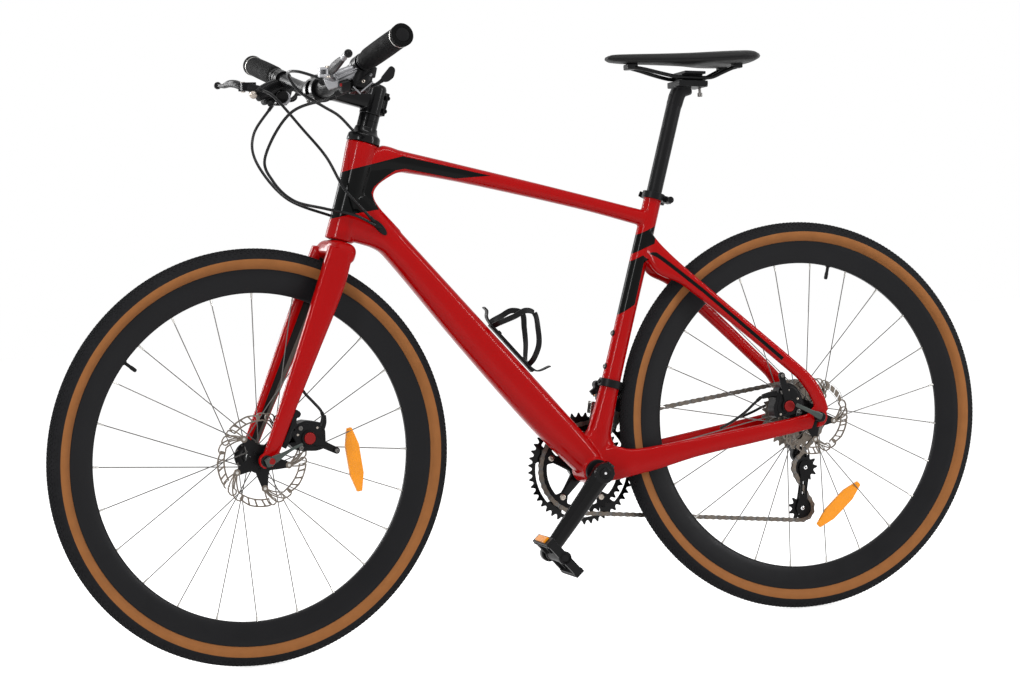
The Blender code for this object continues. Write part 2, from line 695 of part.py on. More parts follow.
def build_controls(steering):
    """Each side has a brake lever mount with the shifter pod under it, a brake lever and a thumb lever."""
    for name, side in (("left", -1), ("right", 1)):
        place = bar_point(side * 0.188)
        along = bar_direction(side * 0.188)
        collar = turned([(-0.0110, 0.0158), (0.0110, 0.0158)], place, along, 16)
        pivot = Vector((-0.4244, side * 0.2080, 0.9803))
        arm = sweep([
            place - X * 0.010, place + Vector((-0.030, -side * 0.004, -0.004)),
            Vector((-0.4110, side * 0.1900, 0.9790)),
        ], 0.0065, 0.0080, 10, 3.0)
        jaw = block(pivot + Vector((0.004, -side * 0.0120, 0)), (0.0260, 0.0150, 0.0140))
        stop = rod(Vector((-0.4060, side * 0.1850, 0.9780)), Vector((-0.4130, side * 0.1530, 0.9740)), 0.0052, 10)
        pod = sweep([
            place + Vector((-0.008, -side * 0.003, -0.012)), place + Vector((-0.006, side * 0.000, -0.028)),
            place + Vector((-0.010, side * 0.004, -0.043)),
        ], 0.0150, 0.0200, 12, 3.0)
        nozzle_start = place + Vector((-0.014, -side * 0.010, -0.036))
        nozzle_end = place + Vector((-0.030, -side * 0.030, -0.040))
        nozzle = rod(nozzle_start, nozzle_end, 0.0045, 8)
        bore = turned([(-0.06, 0.0116), (0.06, 0.0116)], place, along, 12)
        unit = combine(collar, [arm, jaw, stop, pod, nozzle], [bore])
        part(name + "_control", unit, "black_plastic", HEAD_BOTTOM, steering)

        blade = sweep([
            pivot + Vector((0.0060, side * 0.0010, 0)), pivot + Vector((0.0020, side * 0.0120, 0.0010)),
            pivot + Vector((-0.0060, side * 0.0350, 0.0045)), pivot + Vector((-0.0110, side * 0.0620, 0.0085)),
            pivot + Vector((-0.0125, side * 0.0900, 0.0130)), pivot + Vector((-0.0080, side * 0.1140, 0.0170)),
            pivot + Vector((-0.0090, side * 0.1180, 0.0176)),
        ], 0.0042, 0.0052, 10, 3.0, side=X)
        part(name + "_brake_lever", blade, "black_metal", pivot, steering)

        thumb = place + Vector((0.0135, side * 0.0080, -0.0310))
        paddle = sweep([
            thumb, thumb + Vector((0.0120, side * 0.0060, 0.0040)), thumb + Vector((0.0240, side * 0.0230, 0.0220)),
        ], 0.0035, 0.0070, 10, 3.0)
        part(name + "_shift_lever", paddle, "black_plastic", thumb, steering)


# Wheels

def build_tyre_and_rim(prefix, centre, phase, parent):
    tyre = [
        (0.0, WHEEL_RADIUS), (0.0110, 0.3485), (0.0183, 0.3400), (TYRE_HALF_WIDTH, 0.3290), (0.0128, 0.3176),
    ]
    outline = tyre + [(-along, radius) for along, radius in reversed(tyre[1:])]
    part(prefix + "_tyre", hollow(outline, centre, Y, WHEEL_SIDES), "rubber", centre, parent)
    rim = [(0.0035, RIM_INNER), (0.0125, 0.3060), (0.0125, RIM_OUTER)]
    outline = rim + [(-along, radius) for along, radius in reversed(rim)]
    part(prefix + "_rim", hollow(outline, centre, Y, WHEEL_SIDES, -phase), "black_metal", centre, parent)


def spoke_set(centre, flanges, phase):
    """Two-cross lacing: on each flange every other spoke leads and the ones between trail."""
    spokes = []
    for i in range(SPOKES):
        flange = flanges[i % 2]
        rim_angle = phase + 2 * pi * i / SPOKES
        lead = 1 if (i // 2) % 2 else -1
        hub_angle = rim_angle + lead * radians(60)
        start = centre + Vector((cos(hub_angle) * 0.0212, flange + lead * 0.0014, sin(hub_angle) * 0.0212))
        end = centre + Vector((cos(rim_angle) * 0.2760, flange * 0.03, sin(rim_angle) * 0.2760))
        spokes.append(rod(start, end, SPOKE_RADIUS, 4))
    return together(spokes)


def reflector(middle, upper_end, thickness=0.007):
    """A long six-sided spoke reflector."""
    along = Vector(upper_end) - Vector(middle)
    half_length = along.length
    along.normalize()
    across_it = Vector((along.z, 0, -along.x))
    outline = []
    for a, b in ((1.0, 0.35), (0.45, 1.0), (-0.45, 1.0), (-1.0, 0.35), (-1.0, -0.35), (-0.45, -1.0),
                 (0.45, -1.0), (1.0, -0.35)):
        point = Vector(middle) + along * half_length * a + across_it * 0.0125 * b
        outline.append((point.x, point.z))
    low = middle[1] - thickness / 2
    return prism(outline, low, low + thickness)


def rotor(name, centre, side_y, radius, parent):
    low, high = side_y - 0.0009, side_y + 0.0009
    band = hollow([(low, radius - 0.0140), (high, radius - 0.0140), (high, radius), (low, radius)], centre, Y, 24)
    hub = hollow([(low, 0.0105), (high, 0.0105), (high, 0.0205), (low, 0.0205)], centre, Y, 12)
    arms = []
    for i in range(6):
        angle = radians(12 + 60 * i)
        inner = centre + Vector((cos(angle), 0, sin(angle))) * 0.0185 + Y * side_y
        swept = angle + radians(24)
        outer = centre + Vector((cos(swept), 0, sin(swept))) * (radius - 0.0125) + Y * side_y
        arms.append(bar_between(inner, outer, 0.0014, 0.0055))
    part(name, combine(band, [hub, *arms]), "steel", centre, parent)


def build_front_wheel(steering):
    build_tyre_and_rim("front", FRONT_AXLE, FRONT_SPOKE_PHASE, steering)
    left, right = -0.0260, 0.0340
    body = hollow([
        (-FRONT_DROPOUT + GAP, 0.0053), (-FRONT_DROPOUT + GAP, 0.0085), (-0.0412, 0.0090), (-0.0412, 0.0100),
        (-0.0383, 0.0100), (-0.0383, 0.0205), (-0.0320, 0.0205), (left - 0.0024, 0.0240), (left + 0.0024, 0.0240),
        (left + 0.0040, 0.0130), (right - 0.0040, 0.0130), (right - 0.0024, 0.0240), (right + 0.0024, 0.0240),
        (right + 0.0040, 0.0110), (FRONT_DROPOUT - GAP, 0.0085), (FRONT_DROPOUT - GAP, 0.0053),
    ], FRONT_AXLE, Y, 14)
    plate = reflector((-0.3305, -0.0085, 0.3336), (-0.3378, -0.0085, 0.3888))
    spokes = spoke_set(FRONT_AXLE, (left, right), FRONT_SPOKE_PHASE)
    part("front_hub", combine(body, [spokes, plate]), "black_metal", FRONT_AXLE, steering)
    rotor("front_rotor", FRONT_AXLE, -0.0395, 0.0800, steering)


def build_rear_wheel():
    build_tyre_and_rim("rear", REAR_AXLE, REAR_SPOKE_PHASE, None)
    left, right = -0.0340, 0.0200
    body = hollow([
        (-REAR_DROPOUT + GAP, 0.0053), (-REAR_DROPOUT + GAP, 0.0085), (-0.0540, 0.0090), (-0.0540, 0.0100),
        (-0.0508, 0.0100), (-0.0508, 0.0205), (-0.0420, 0.0205), (left - 0.0024, 0.0240), (left + 0.0024, 0.0240),
        (left + 0.0040, 0.0130), (right - 0.0040, 0.0130), (right - 0.0024, 0.0240), (right + 0.0024, 0.0240),
        (right + 0.0036, 0.0166), (0.0640, 0.0166), (0.0642, 0.0085), (REAR_DROPOUT - GAP, 0.0085),
        (REAR_DROPOUT - GAP, 0.0053),
    ], REAR_AXLE, Y, 14)
    plate = reflector((0.5683, -0.0110, 0.1832), (0.6110, -0.0110, 0.2190))
    spokes = spoke_set(REAR_AXLE, (left, right), REAR_SPOKE_PHASE)
    part("rear_hub", combine(body, [spokes, plate]), "black_metal", REAR_AXLE)
    rotor("rear_rotor", REAR_AXLE, -0.0520, 0.0700, None)


def build_axles(steering):
    shaft = rod(REAR_AXLE - Y * 0.0900, REAR_AXLE + Y * 0.0870, AXLE_RADIUS, 14)
    ends = [
        turned([(low, 0.0092), (high, 0.0080)], REAR_AXLE, Y, 12)
        for low, high in ((-0.0748, -0.0880), (0.0800, 0.0880))
    ]
    part("rear_axle", combine(shaft, ends), "steel", REAR_AXLE)

    shaft = rod(FRONT_AXLE - Y * 0.0680, FRONT_AXLE + Y * 0.0705, AXLE_RADIUS, 14)
    nut = turned([(0.0613, 0.0092), (0.0735, 0.0078)], FRONT_AXLE, Y, 12)
    cam_seat = turned([(-0.0613, 0.0088), (-0.0690, 0.0088)], FRONT_AXLE, Y, 16)
    part("front_axle", combine(shaft, [nut, cam_seat]), "black_metal", FRONT_AXLE, steering)

    reach = Vector((0.9150, 0, 0.4035))
    square = Vector((-reach.z, 0, reach.x))
    pivot = FRONT_AXLE - Y * 0.0765
    lever = combine(
        rod(pivot - square * 0.0085, pivot + square * 0.0085, 0.0070, 14),
        [sweep([
            pivot - Y * 0.0005, pivot + reach * 0.012 - Y * 0.0010, pivot + reach * 0.030 - Y * 0.0005,
            pivot + reach * 0.050 + Y * 0.0005, pivot + reach * 0.063 - Y * 0.0040,
        ], 0.0055, 0.0024, 10, 3.0)],
    )
    part("front_axle_lever", lever, "black_metal", pivot, steering)


# Drivetrain

def engaged_radius(teeth, step):
    """The edge of a toothed wheel's plain disc under a chain drawn with bends this far apart."""
    return (pitch_radius(teeth) - 0.0008) * cos(step / 2) - 0.0004


CHAIN_STEP = radians(20)


def build_cassette():
    """The sprockets as one stepped turned solid, the largest one thin where the chain is on it."""
    outline = [(LARGE_SPROCKET_Y - 0.0010, 0.0175)]
    edge = engaged_radius(SPROCKETS[0], CHAIN_STEP)
    outline += [(LARGE_SPROCKET_Y - 0.0010, edge), (LARGE_SPROCKET_Y + 0.0010, edge)]
    start = LARGE_SPROCKET_Y + 0.0034
    outline += [(LARGE_SPROCKET_Y + 0.0010, 0.0538), (start, 0.0538)]
    for i, teeth in enumerate(SPROCKETS[1:], 1):
        tip = pitch_radius(teeth) + 0.0013
        end = LARGE_SPROCKET_Y + SPROCKET_SPACING * i + 0.0034
        if i == len(SPROCKETS) - 1:
            end = LARGE_SPROCKET_Y + SPROCKET_SPACING * i + 0.0009
        outline += [(start, tip), (end, tip)]
        start = end
    outline += [(start, 0.0175)]
    part("cassette", hollow(outline, REAR_AXLE, Y, 18), "steel", REAR_AXLE)


def ring_bolts(face, outward):
    """Five flat bolt heads on a chainring's outer or inner face."""
    heads = []
    for i in range(5):
        angle = SPIDER_ANGLE - i * 2 * pi / 5
        centre = BRACKET + Vector((cos(angle), 0, sin(angle))) * 0.0620
        low, high = sorted((face - outward * 0.0006, face + outward * 0.0016))
        heads.append(disc(centre, 0.0052, low, high, 8))
    return heads


def build_chainrings():
    tips = []
    for i in range(OUTER_RING_TEETH):
        for offset, radius in ((0.0, 0.0024), (0.5, -0.0036)):
            angle = 2 * pi * (i + offset) / OUTER_RING_TEETH
            reach = pitch_radius(OUTER_RING_TEETH) + radius
            tips.append((BRACKET.x + cos(angle) * reach, BRACKET.z + sin(angle) * reach))
    low, high = OUTER_RING_Y - 0.0008, OUTER_RING_Y + 0.0008
    ring = combine(prism(tips, low, high), ring_bolts(high, 1), [disc(BRACKET, 0.0560, low - 0.01, high + 0.01, 20)])
    part("outer_chainring", ring, "black_metal", BRACKET)
    low, high = INNER_RING_Y - 0.0008, INNER_RING_Y + 0.0008
    edge = engaged_radius(INNER_RING_TEETH, CHAIN_STEP)
    ring = hollow([(low, 0.0560), (high, 0.0560), (high, edge), (low, edge)], BRACKET, Y, 30)
    part("inner_chainring", combine(ring, ring_bolts(low, -1)), "black_metal", BRACKET)


def crank_arm(direction, side):
    """The arm from the bracket out to the pedal, leaning outward by 10 mm."""
    square = Vector((-direction.z, 0, direction.x))
    rings = []
    for share, middle, half_width, half_thick in (
        (0.0, 0.0660, 0.0180, 0.0090), (0.10, 0.0668, 0.0172, 0.0088), (0.30, 0.0700, 0.0158, 0.0075),
        (0.60, 0.0735, 0.0150, 0.0066), (0.88, 0.0762, 0.0136, 0.0064), (1.0, 0.0768, 0.0134, 0.0064),
    ):
        centre = BRACKET + direction * CRANK_LENGTH * share + Y * side * middle
        rings.append(oval(centre, square * half_width, Y * half_thick, 10, 3.0))
    return skin(rings)


def build_cranks():
    forward_down = Vector((cos(CRANK_ANGLE), 0, sin(CRANK_ANGLE)))
    for name, side, direction in (("left_crank", -1, forward_down), ("right_crank", 1, -forward_down)):
        pedal = BRACKET + direction * CRANK_LENGTH
        boss = turned([(side * 0.0555, 0.0180), (side * 0.0755, 0.0185)], BRACKET, Y, 16)
        eye = turned([(side * 0.0702, 0.0146), (side * 0.0834, 0.0142)], pedal, Y, 14)
        spindle = turned([(side * 0.0800, 0.0052), (side * 0.1610, 0.0052)], pedal, Y, 12)
        joins = [crank_arm(direction, side), eye, spindle]
        cuts = []
        if side > 0:
            joins.append(turned([(-0.0700, 0.0118), (0.0600, 0.0118)], BRACKET, Y, 16))
            joins.append(turned([(0.0423, 0.0240), (0.0600, 0.0210)], BRACKET, Y, 16))
            for i in range(5):
                angle = SPIDER_ANGLE - i * 2 * pi / 5
                out = Vector((cos(angle), 0, sin(angle)))
                middle = BRACKET + Y * 0.0436
                joins.append(bar_between(middle + out * 0.0100, middle + out * 0.0670, 0.0026, 0.0130))
        else:
            cuts.append(turned([(-0.0705, 0.0123), (-0.0300, 0.0123)], BRACKET, Y, 16))
        part(name, combine(boss, joins, cuts), "black_metal", BRACKET)


def build_pedals():
    """Each platform turns on the spindle that stands out of its crank."""
    forward_down = Vector((cos(CRANK_ANGLE), 0, sin(CRANK_ANGLE)))
    for name, side, direction in (("left_pedal", -1, forward_down), ("right_pedal", 1, -forward_down)):
        centre = BRACKET + direction * CRANK_LENGTH
        run = Vector((0.656, 0, -0.755)) if side < 0 else Vector((1, 0, 0))
        thick = Vector((-run.z, 0, run.x))
        middle = centre + Y * side * 0.1250

        def slab(start, end, width, depth):
            return bar_between(middle + run * start, middle + run * end, width, depth)

        frame_plate = slab(-0.0400, 0.0400, 0.0760, 0.0180)
        windows = [slab(a, b, 0.0600, 0.0400) for a, b in ((-0.0335, -0.0125), (0.0125, 0.0335))]
        barrel = turned([(-0.0375, 0.0112), (0.0375, 0.0112)], middle, Y, 14)
        lights = [
            bar_between(middle + run * a - thick * 0.0065, middle + run * a + thick * 0.0065, 0.0460, 0.0060)
            for a in (-0.0410, 0.0410)
        ]
        bore = turned([(-0.0500, 0.0057), (0.0500, 0.0057)], middle, Y, 12)
        platform = combine(combine(frame_plate, [], windows), [barrel, *lights], [bore])
        part(name, platform, "black_plastic", centre)


def tangent_heading(first, second):
    """The heading of the straight run from one (centre, radius, turn) wheel to the next; turn is 1 anticlockwise."""
    (x1, z1), radius_1, turn_1 = first[:3]
    (x2, z2), radius_2, turn_2 = second[:3]
    return atan2(z2 - z1, x2 - x1) - asin((turn_2 * radius_2 - turn_1 * radius_1) / hypot(x2 - x1, z2 - z1))


def belt(wheels):
    """Points of a closed loop round wheels, each (centre, radius, turn, y), with how far each heading has come."""
    headings = [tangent_heading(a, b) for a, b in zip(wheels, wheels[1:] + wheels[:1])]
    route = []
    for i, (centre, radius, turn, y) in enumerate(wheels):
        arrive, leave = headings[i - 1], headings[i]
        swing = (leave - arrive) * turn
        while swing < 0:
            swing += 2 * pi
        steps = max(1, ceil(swing / CHAIN_STEP))
        for k in range(steps + 1):
            heading = arrive + turn * swing * k / steps
            x = centre[0] + turn * radius * sin(heading)
            z = centre[1] - turn * radius * cos(heading)
            route.append((Vector((x, y, z)), heading))
    return route


def build_chain():
    """Side plates and the rollers between them, as one H section round the whole run."""
    pulley = pitch_radius(PULLEY_TEETH)
    route = belt([
        ((BRACKET.x, BRACKET.z), pitch_radius(INNER_RING_TEETH), -1, INNER_RING_Y),
        ((REAR_AXLE.x, REAR_AXLE.z), pitch_radius(SPROCKETS[0]), -1, LARGE_SPROCKET_Y),
        ((GUIDE_PULLEY.x, GUIDE_PULLEY.z), pulley, 1, LARGE_SPROCKET_Y),
        ((TENSION_PULLEY.x, TENSION_PULLEY.z), pulley, -1, LARGE_SPROCKET_Y),
    ])
    plate, web, outer, inner = 0.0042, 0.0008, 0.0032, 0.0022
    corner = [(plate, outer), (plate, inner), (web, inner)]
    section = [(h, -w) for h, w in corner] + [(h, w) for h, w in reversed(corner)]
    section += [(-h, w) for h, w in corner] + [(-h, -w) for h, w in reversed(corner)]
    rings = []
    for point, heading in route:
        square = Vector((-sin(heading), 0, cos(heading)))
        rings.append([point + square * h + Y * w for h, w in section])
    part("chain", skin(rings, closed=True), "steel")


def build_rear_derailleur():
    """The hanger and the two knuckles with the links between them; the cage swings on the lower one."""
    knuckle = Vector((0.5170, 0, 0.3190))
    low_knuckle = Vector((0.5180, 0, 0.2760))
    hanger_low, hanger_high = 0.0748, 0.0794
    hanger = combine(
        disc(REAR_AXLE, 0.0125, hanger_low, hanger_high, 16),
        [bar_between(REAR_AXLE + Y * 0.0771, knuckle + Y * 0.0771, 0.0046, 0.0180),
         disc(knuckle, 0.0100, hanger_low, 0.0900, 14)],
        [disc(REAR_AXLE, AXLE_RADIUS + 0.0005, 0.06, 0.09, 16)],
    )
    links = [
        sweep([knuckle + Y * 0.0850, knuckle.lerp(low_knuckle, 0.5) + Y * 0.0660 + X * shift,
               low_knuckle + Y * 0.0450], 0.0075, 0.0045, 8, 3.0, side=X)
        for shift in (-0.0075, 0.0075)
    ]
    lower = disc(low_knuckle, 0.0150, 0.0345, 0.0520, 16)
    stub = rod(knuckle + Vector((0.004, 0.0830, 0)), knuckle + Vector((0.0260, 0.0830, 0.0020)), 0.0042, 8)
    part("rear_derailleur", combine(hanger, [lower, *links, stub]), "black_metal")

    plate_gap = 0.0037
    outer_y = LARGE_SPROCKET_Y + plate_gap
    inner_y = LARGE_SPROCKET_Y - plate_gap
    plates = []
    for low, high in ((outer_y, outer_y + 0.0016), (inner_y - 0.0016, inner_y)):
        middle = (low + high) / 2
        bar = bar_between(GUIDE_PULLEY + Y * middle, TENSION_PULLEY + Y * middle, high - low, 0.0170)
        ends = [disc(GUIDE_PULLEY, 0.0125, low, high, 12), disc(TENSION_PULLEY, 0.0125, low, high, 12)]
        plates.append(combine(bar, ends))
    lug = bar_between(GUIDE_PULLEY + Y * (outer_y + 0.0008), low_knuckle + Y * (outer_y + 0.0008), 0.0016, 0.0200)
    pins = [
        disc(centre, 0.0024, inner_y - 0.0026, outer_y + 0.0026, 8) for centre in (GUIDE_PULLEY, TENSION_PULLEY)
    ]
    boss = disc(low_knuckle, 0.0110, outer_y, 0.0342, 12)
    cage = combine(plates[0], [plates[1], lug, boss, *pins])
    part("rear_derailleur_cage", cage, "black_metal", low_knuckle)
    edge = engaged_radius(PULLEY_TEETH, CHAIN_STEP)
    y = LARGE_SPROCKET_Y
    for name, centre in (("guide_pulley", GUIDE_PULLEY), ("tension_pulley", TENSION_PULLEY)):
        outline = [
            (y - 0.0030, 0.0028), (y - 0.0030, 0.0070), (y - 0.0010, 0.0080), (y - 0.0010, edge),
            (y + 0.0010, edge), (y + 0.0010, 0.0080), (y + 0.0030, 0.0070), (y + 0.0030, 0.0028),
        ]
        part(name, hollow(outline, centre, Y, 16), "black_plastic", centre)


def arc_plate(inner, outer, start, end, low, high, steps=5):
    """A curved plate about the bracket, from one angle to another."""
    angles = [radians(start + (end - start) * i / steps) for i in range(steps + 1)]
    outline = [(BRACKET.x + cos(a) * outer, BRACKET.z + sin(a) * outer) for a in angles]
    outline += [(BRACKET.x + cos(a) * inner, BRACKET.z + sin(a) * inner) for a in reversed(angles)]
    return prism(outline, low, high)


def build_front_derailleur():
    height = 0.4320
    band = hollow([
        (-0.0070, 0.0180), (0.0070, 0.0180), (0.0070, 0.0212), (-0.0070, 0.0212),
    ], seat_point(height), SEAT_AXIS, 20)
    body = combine(
        band,
        [block((0.1330, 0.0240, 0.4200), (0.0240, 0.0160, 0.0340)),
         bar_between((0.1330, 0.0250, 0.4300), (0.1120, 0.0250, 0.4160), 0.0080, 0.0100)],
    )
    body = combine(body, [], [turned([(-0.04, 0.0180), (0.04, 0.0180)], seat_point(height), SEAT_AXIS, 20)])
    part("front_derailleur", body, "black_metal")
    inner = arc_plate(0.0840, 0.1200, 47, 80, 0.0326, 0.0339)
    outer = arc_plate(0.1000, 0.1220, 47, 80, 0.0500, 0.0513)
    bridge = arc_plate(0.1180, 0.1215, 57, 79, 0.0332, 0.0508, 4)
    tail = BRACKET + Vector((cos(radians(50)), 0, sin(radians(50)))) * 0.1050
    pin = disc(tail, 0.0018, 0.0332, 0.0508, 8)
    part("front_derailleur_cage", combine(inner, [outer, bridge, pin]), "black_metal")


# Brakes

def caliper(outline, knob, rotor_y, body_low, body_high, slot_centre, slot_radius, extras):
    """A caliper body that straddles its rotor, with the pad adjuster on its outer face."""
    body = prism(outline, body_low, body_high)
    adjuster = disc(knob, 0.0084, body_low - 0.0062, body_low + 0.0020, 14)
    slot = disc(slot_centre, slot_radius, rotor_y - 0.0028, rotor_y + 0.0028, 30)
    return combine(body, [adjuster, *extras], [slot])


def brake_arm(knob, tip, low):
    """The arm that turns on the caliper and pulls the pad in."""
    ring = disc(knob, 0.0135, low, low + 0.0036, 18)
    arm = bar_between(knob + Y * (low + 0.0018), Vector(tip) + Y * (low + 0.0018), 0.0036, 0.0110)
    eye = disc(Vector(tip), 0.0066, low - 0.0030, low + 0.0046, 12)
    return combine(ring, [arm, eye], [disc(knob, 0.0090, low - 0.01, low + 0.02, 16)])


def build_front_brake(steering):
    knob = Vector((-0.4300, 0, 0.3830))
    outline = [
        (-0.4570, 0.4020), (-0.4400, 0.4150), (-0.4140, 0.4130), (-0.4000, 0.4010), (-0.4000, 0.3760),
        (-0.4160, 0.3640), (-0.4480, 0.3640), (-0.4640, 0.3740),
    ]
    bracket = sweep(
        [(-0.4430, -0.0530, 0.4300), (-0.4545, -0.0530, 0.4050), (-0.4668, -0.0530, 0.3780)], 0.0048, 0.0035, 8, 4.0
    )
    stop = rod((-0.4060, -0.0560, 0.4000), (-0.3985, -0.0560, 0.4200), 0.0050, 10)
    body = caliper(outline, knob, -0.0395, -0.0620, -0.0300, FRONT_AXLE, 0.0830, [bracket, stop])
    part("front_caliper", body, "black_metal", HEAD_BOTTOM, steering)
    arm = brake_arm(knob, (-0.3840, 0, 0.3590), -0.0660)
    part("front_brake_arm", arm, "black_metal", knob, steering)


def build_rear_brake():
    knob = Vector((0.4515, 0, 0.3735))
    outline = [
        (0.4265, 0.3530), (0.4760, 0.3600), (0.4840, 0.3720), (0.4690, 0.4090), (0.4530, 0.4160), (0.4370, 0.4080),
        (0.4230, 0.3720),
    ]
    stop = rod((0.4320, -0.0570, 0.3960), (0.4060, -0.0570, 0.3930), 0.0050, 10)
    body = caliper(outline, knob, -0.0520, -0.0680, -0.0390, REAR_AXLE, 0.0730, [stop])
    part("rear_caliper", body, "black_metal")
    part("rear_brake_arm", brake_arm(knob, (0.4395, 0, 0.4290), -0.0720), "black_metal", knob)


# Saddle and post

def build_seatpost():
    head = Vector((0.3200, 0, 0.9560))
    top = seat_point(0.9360)
    post = rod(seat_point(0.6200), top, POST_RADIUS, 20)
    neck = sweep([seat_point(0.9200), top + Vector((0.006, 0, 0.008)), head + Vector((-0.004, 0, -0.004))],
                 0.0135, 0.0150, 14, 2.6)
    tilt = Matrix.Rotation(radians(3), 3, "Y")
    cradle = block(head - X * 0.0030, (0.0560, 0.0600, 0.0130), tilt)
    spine = block(head + Vector((0.0005, 0, 0.0120)), (0.0400, 0.0320, 0.0220), tilt)
    cap = block(head + Vector((0.0010, 0, 0.0195)), (0.0400, 0.0600, 0.0050), tilt)
    bolts = [
        rod(head + Vector((shift, 0, -0.0220)), head + Vector((shift, 0, 0.0020)), 0.0045, 10)
        for shift in (-0.0250, 0.0200)
    ]
    part("seatpost", combine(post, [neck, cradle, spine, cap, *bolts]), "black_metal")


def build_saddle():
    stations = [
        (0.1662, 0.0110, 1.0090, 1.0020), (0.1730, 0.0170, 1.0115, 0.9990), (0.2000, 0.0205, 1.0123, 0.9960),
        (0.2600, 0.0245, 1.0121, 0.9930), (0.3150, 0.0370, 1.0119, 0.9905), (0.3550, 0.0580, 1.0121, 0.9880),
        (0.3920, 0.0710, 1.0123, 0.9875), (0.4230, 0.0680, 1.0119, 0.9890), (0.4400, 0.0460, 1.0085, 0.9950),
    ]
    rings = []
    for x, half_width, top, bottom in stations:
        centre = Vector((x, 0, (top + bottom) / 2))
        rings.append(oval(centre, Z * (top - bottom) / 2, Y * half_width, 16, 2.8))
    part("saddle", skin(rings), "saddle_cover")


def build_saddle_rails():
    """Both rails and the nose piece that joins them, as one bent rod."""
    half = [
        (0.2100, 0.0000, 0.9880), (0.2140, 0.0090, 0.9880), (0.2320, 0.0140, 0.9840), (0.2600, 0.0190, 0.9760),
        (0.2880, 0.0220, 0.9690), (0.3050, 0.0220, 0.9676), (0.3380, 0.0220, 0.9660), (0.3560, 0.0228, 0.9668),
        (0.3740, 0.0260, 0.9740), (0.3900, 0.0310, 0.9805), (0.4000, 0.0330, 0.9830),
    ]
    route = [Vector((x, -y, z)) for x, y, z in reversed(half[1:])] + [Vector(point) for point in half]
    made = housing("saddle_rails", route, radius=0.0035)
    made.data.materials.clear()
    made.data.materials.append(material("steel"))


# Cables

def build_cables(steering):
    """Each jacket runs from its lever or pod to where it goes into the frame, the headset or a brake."""
    near_port = (-0.2715, -0.0272, 0.7255)
    far_port = (-0.2715, 0.0272, 0.7255)
    housing("right_shift_housing", [
        steered(-0.3919, 0.1545, 0.9439), steered(-0.4326, 0.1400, 0.8945), steered(-0.4399, 0.1100, 0.8457),
        steered(-0.4078, 0.0600, 0.7834), (-0.3424, 0.0440, 0.7532), (-0.3000, 0.0330, 0.7400), far_port,
    ])
    housing("left_shift_housing", [
        steered(-0.3905, -0.1500, 0.9430), steered(-0.4503, -0.1000, 0.9212), steered(-0.4836, -0.0600, 0.8519),
        steered(-0.4681, -0.0500, 0.8108), steered(-0.4336, -0.0500, 0.7781), (-0.3701, -0.0480, 0.7611),
        (-0.3170, -0.0400, 0.7480), near_port,
    ])
    housing("rear_brake_housing", [
        steered(-0.4140, 0.1490, 0.9735), steered(-0.4030, 0.1050, 0.9560), steered(-0.3800, 0.0400, 0.9000),
        steered(-0.3600, -0.0150, 0.8500), (-0.3350, -0.0440, 0.7950), (-0.2980, -0.0385, 0.7520),
        (-0.2830, -0.0320, 0.7370),
    ])
    housing("front_brake_housing", [
        Vector((-0.4140, -0.1490, 0.9735)), Vector((-0.4360, -0.1000, 0.9880)), Vector((-0.4366, -0.0550, 0.9860)),
        Vector((-0.4080, -0.0330, 0.9580)), Vector((-0.3650, -0.0250, 0.9340)), Vector((-0.3350, -0.0180, 0.9180)),
        Vector((-0.3072, -0.0100, 0.8930)),
    ], steering)
    housing("front_brake_lower_housing", [
        Vector((-0.4290, -0.0545, 0.4620)), Vector((-0.4160, -0.0555, 0.4530)), Vector((-0.4030, -0.0560, 0.4370)),
        Vector((-0.3982, -0.0560, 0.4220)),
    ], steering)
    housing("rear_brake_lower_housing", [
        (0.3230, -0.0540, 0.3420), (0.3450, -0.0552, 0.3520), (0.3692, -0.0562, 0.3660), (0.3900, -0.0568, 0.3820),
        (0.4040, -0.0570, 0.3925),
    ])
    housing("rear_derailleur_housing", [
        (0.4150, 0.0628, 0.3500), (0.4450, 0.0720, 0.3580), (0.4750, 0.0805, 0.3670), (0.5080, 0.0850, 0.3700),
        (0.5430, 0.0850, 0.3590), (0.5600, 0.0840, 0.3380), (0.5560, 0.0830, 0.3240), (0.5440, 0.0830, 0.3208),
    ])


for old in list(bpy.data.objects):
    bpy.data.objects.remove(old)
steering_pivot = empty("steering", HEAD_BOTTOM, STEER_TURN)
build_frame()
build_bearings()
build_seat_collar()
build_bottle_cage()
build_fork(steering_pivot)
build_headset_cover(steering_pivot)
build_stem(steering_pivot)
build_handlebar(steering_pivot)
build_controls(steering_pivot)
build_front_wheel(steering_pivot)
build_rear_wheel()
build_axles(steering_pivot)
build_cassette()
build_chainrings()
build_cranks()
build_pedals()
build_chain()
build_rear_derailleur()
build_front_derailleur()
build_front_brake(steering_pivot)
build_rear_brake()
build_seatpost()
build_saddle()
build_saddle_rails()
build_cables(steering_pivot)
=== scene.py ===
from math import asin, atan2, ceil, cos, dist, hypot, pi, radians, sin

import bmesh
import bpy
from mathutils import Matrix, Quaternion, Vector
from mathutils.geometry import tessellate_polygon


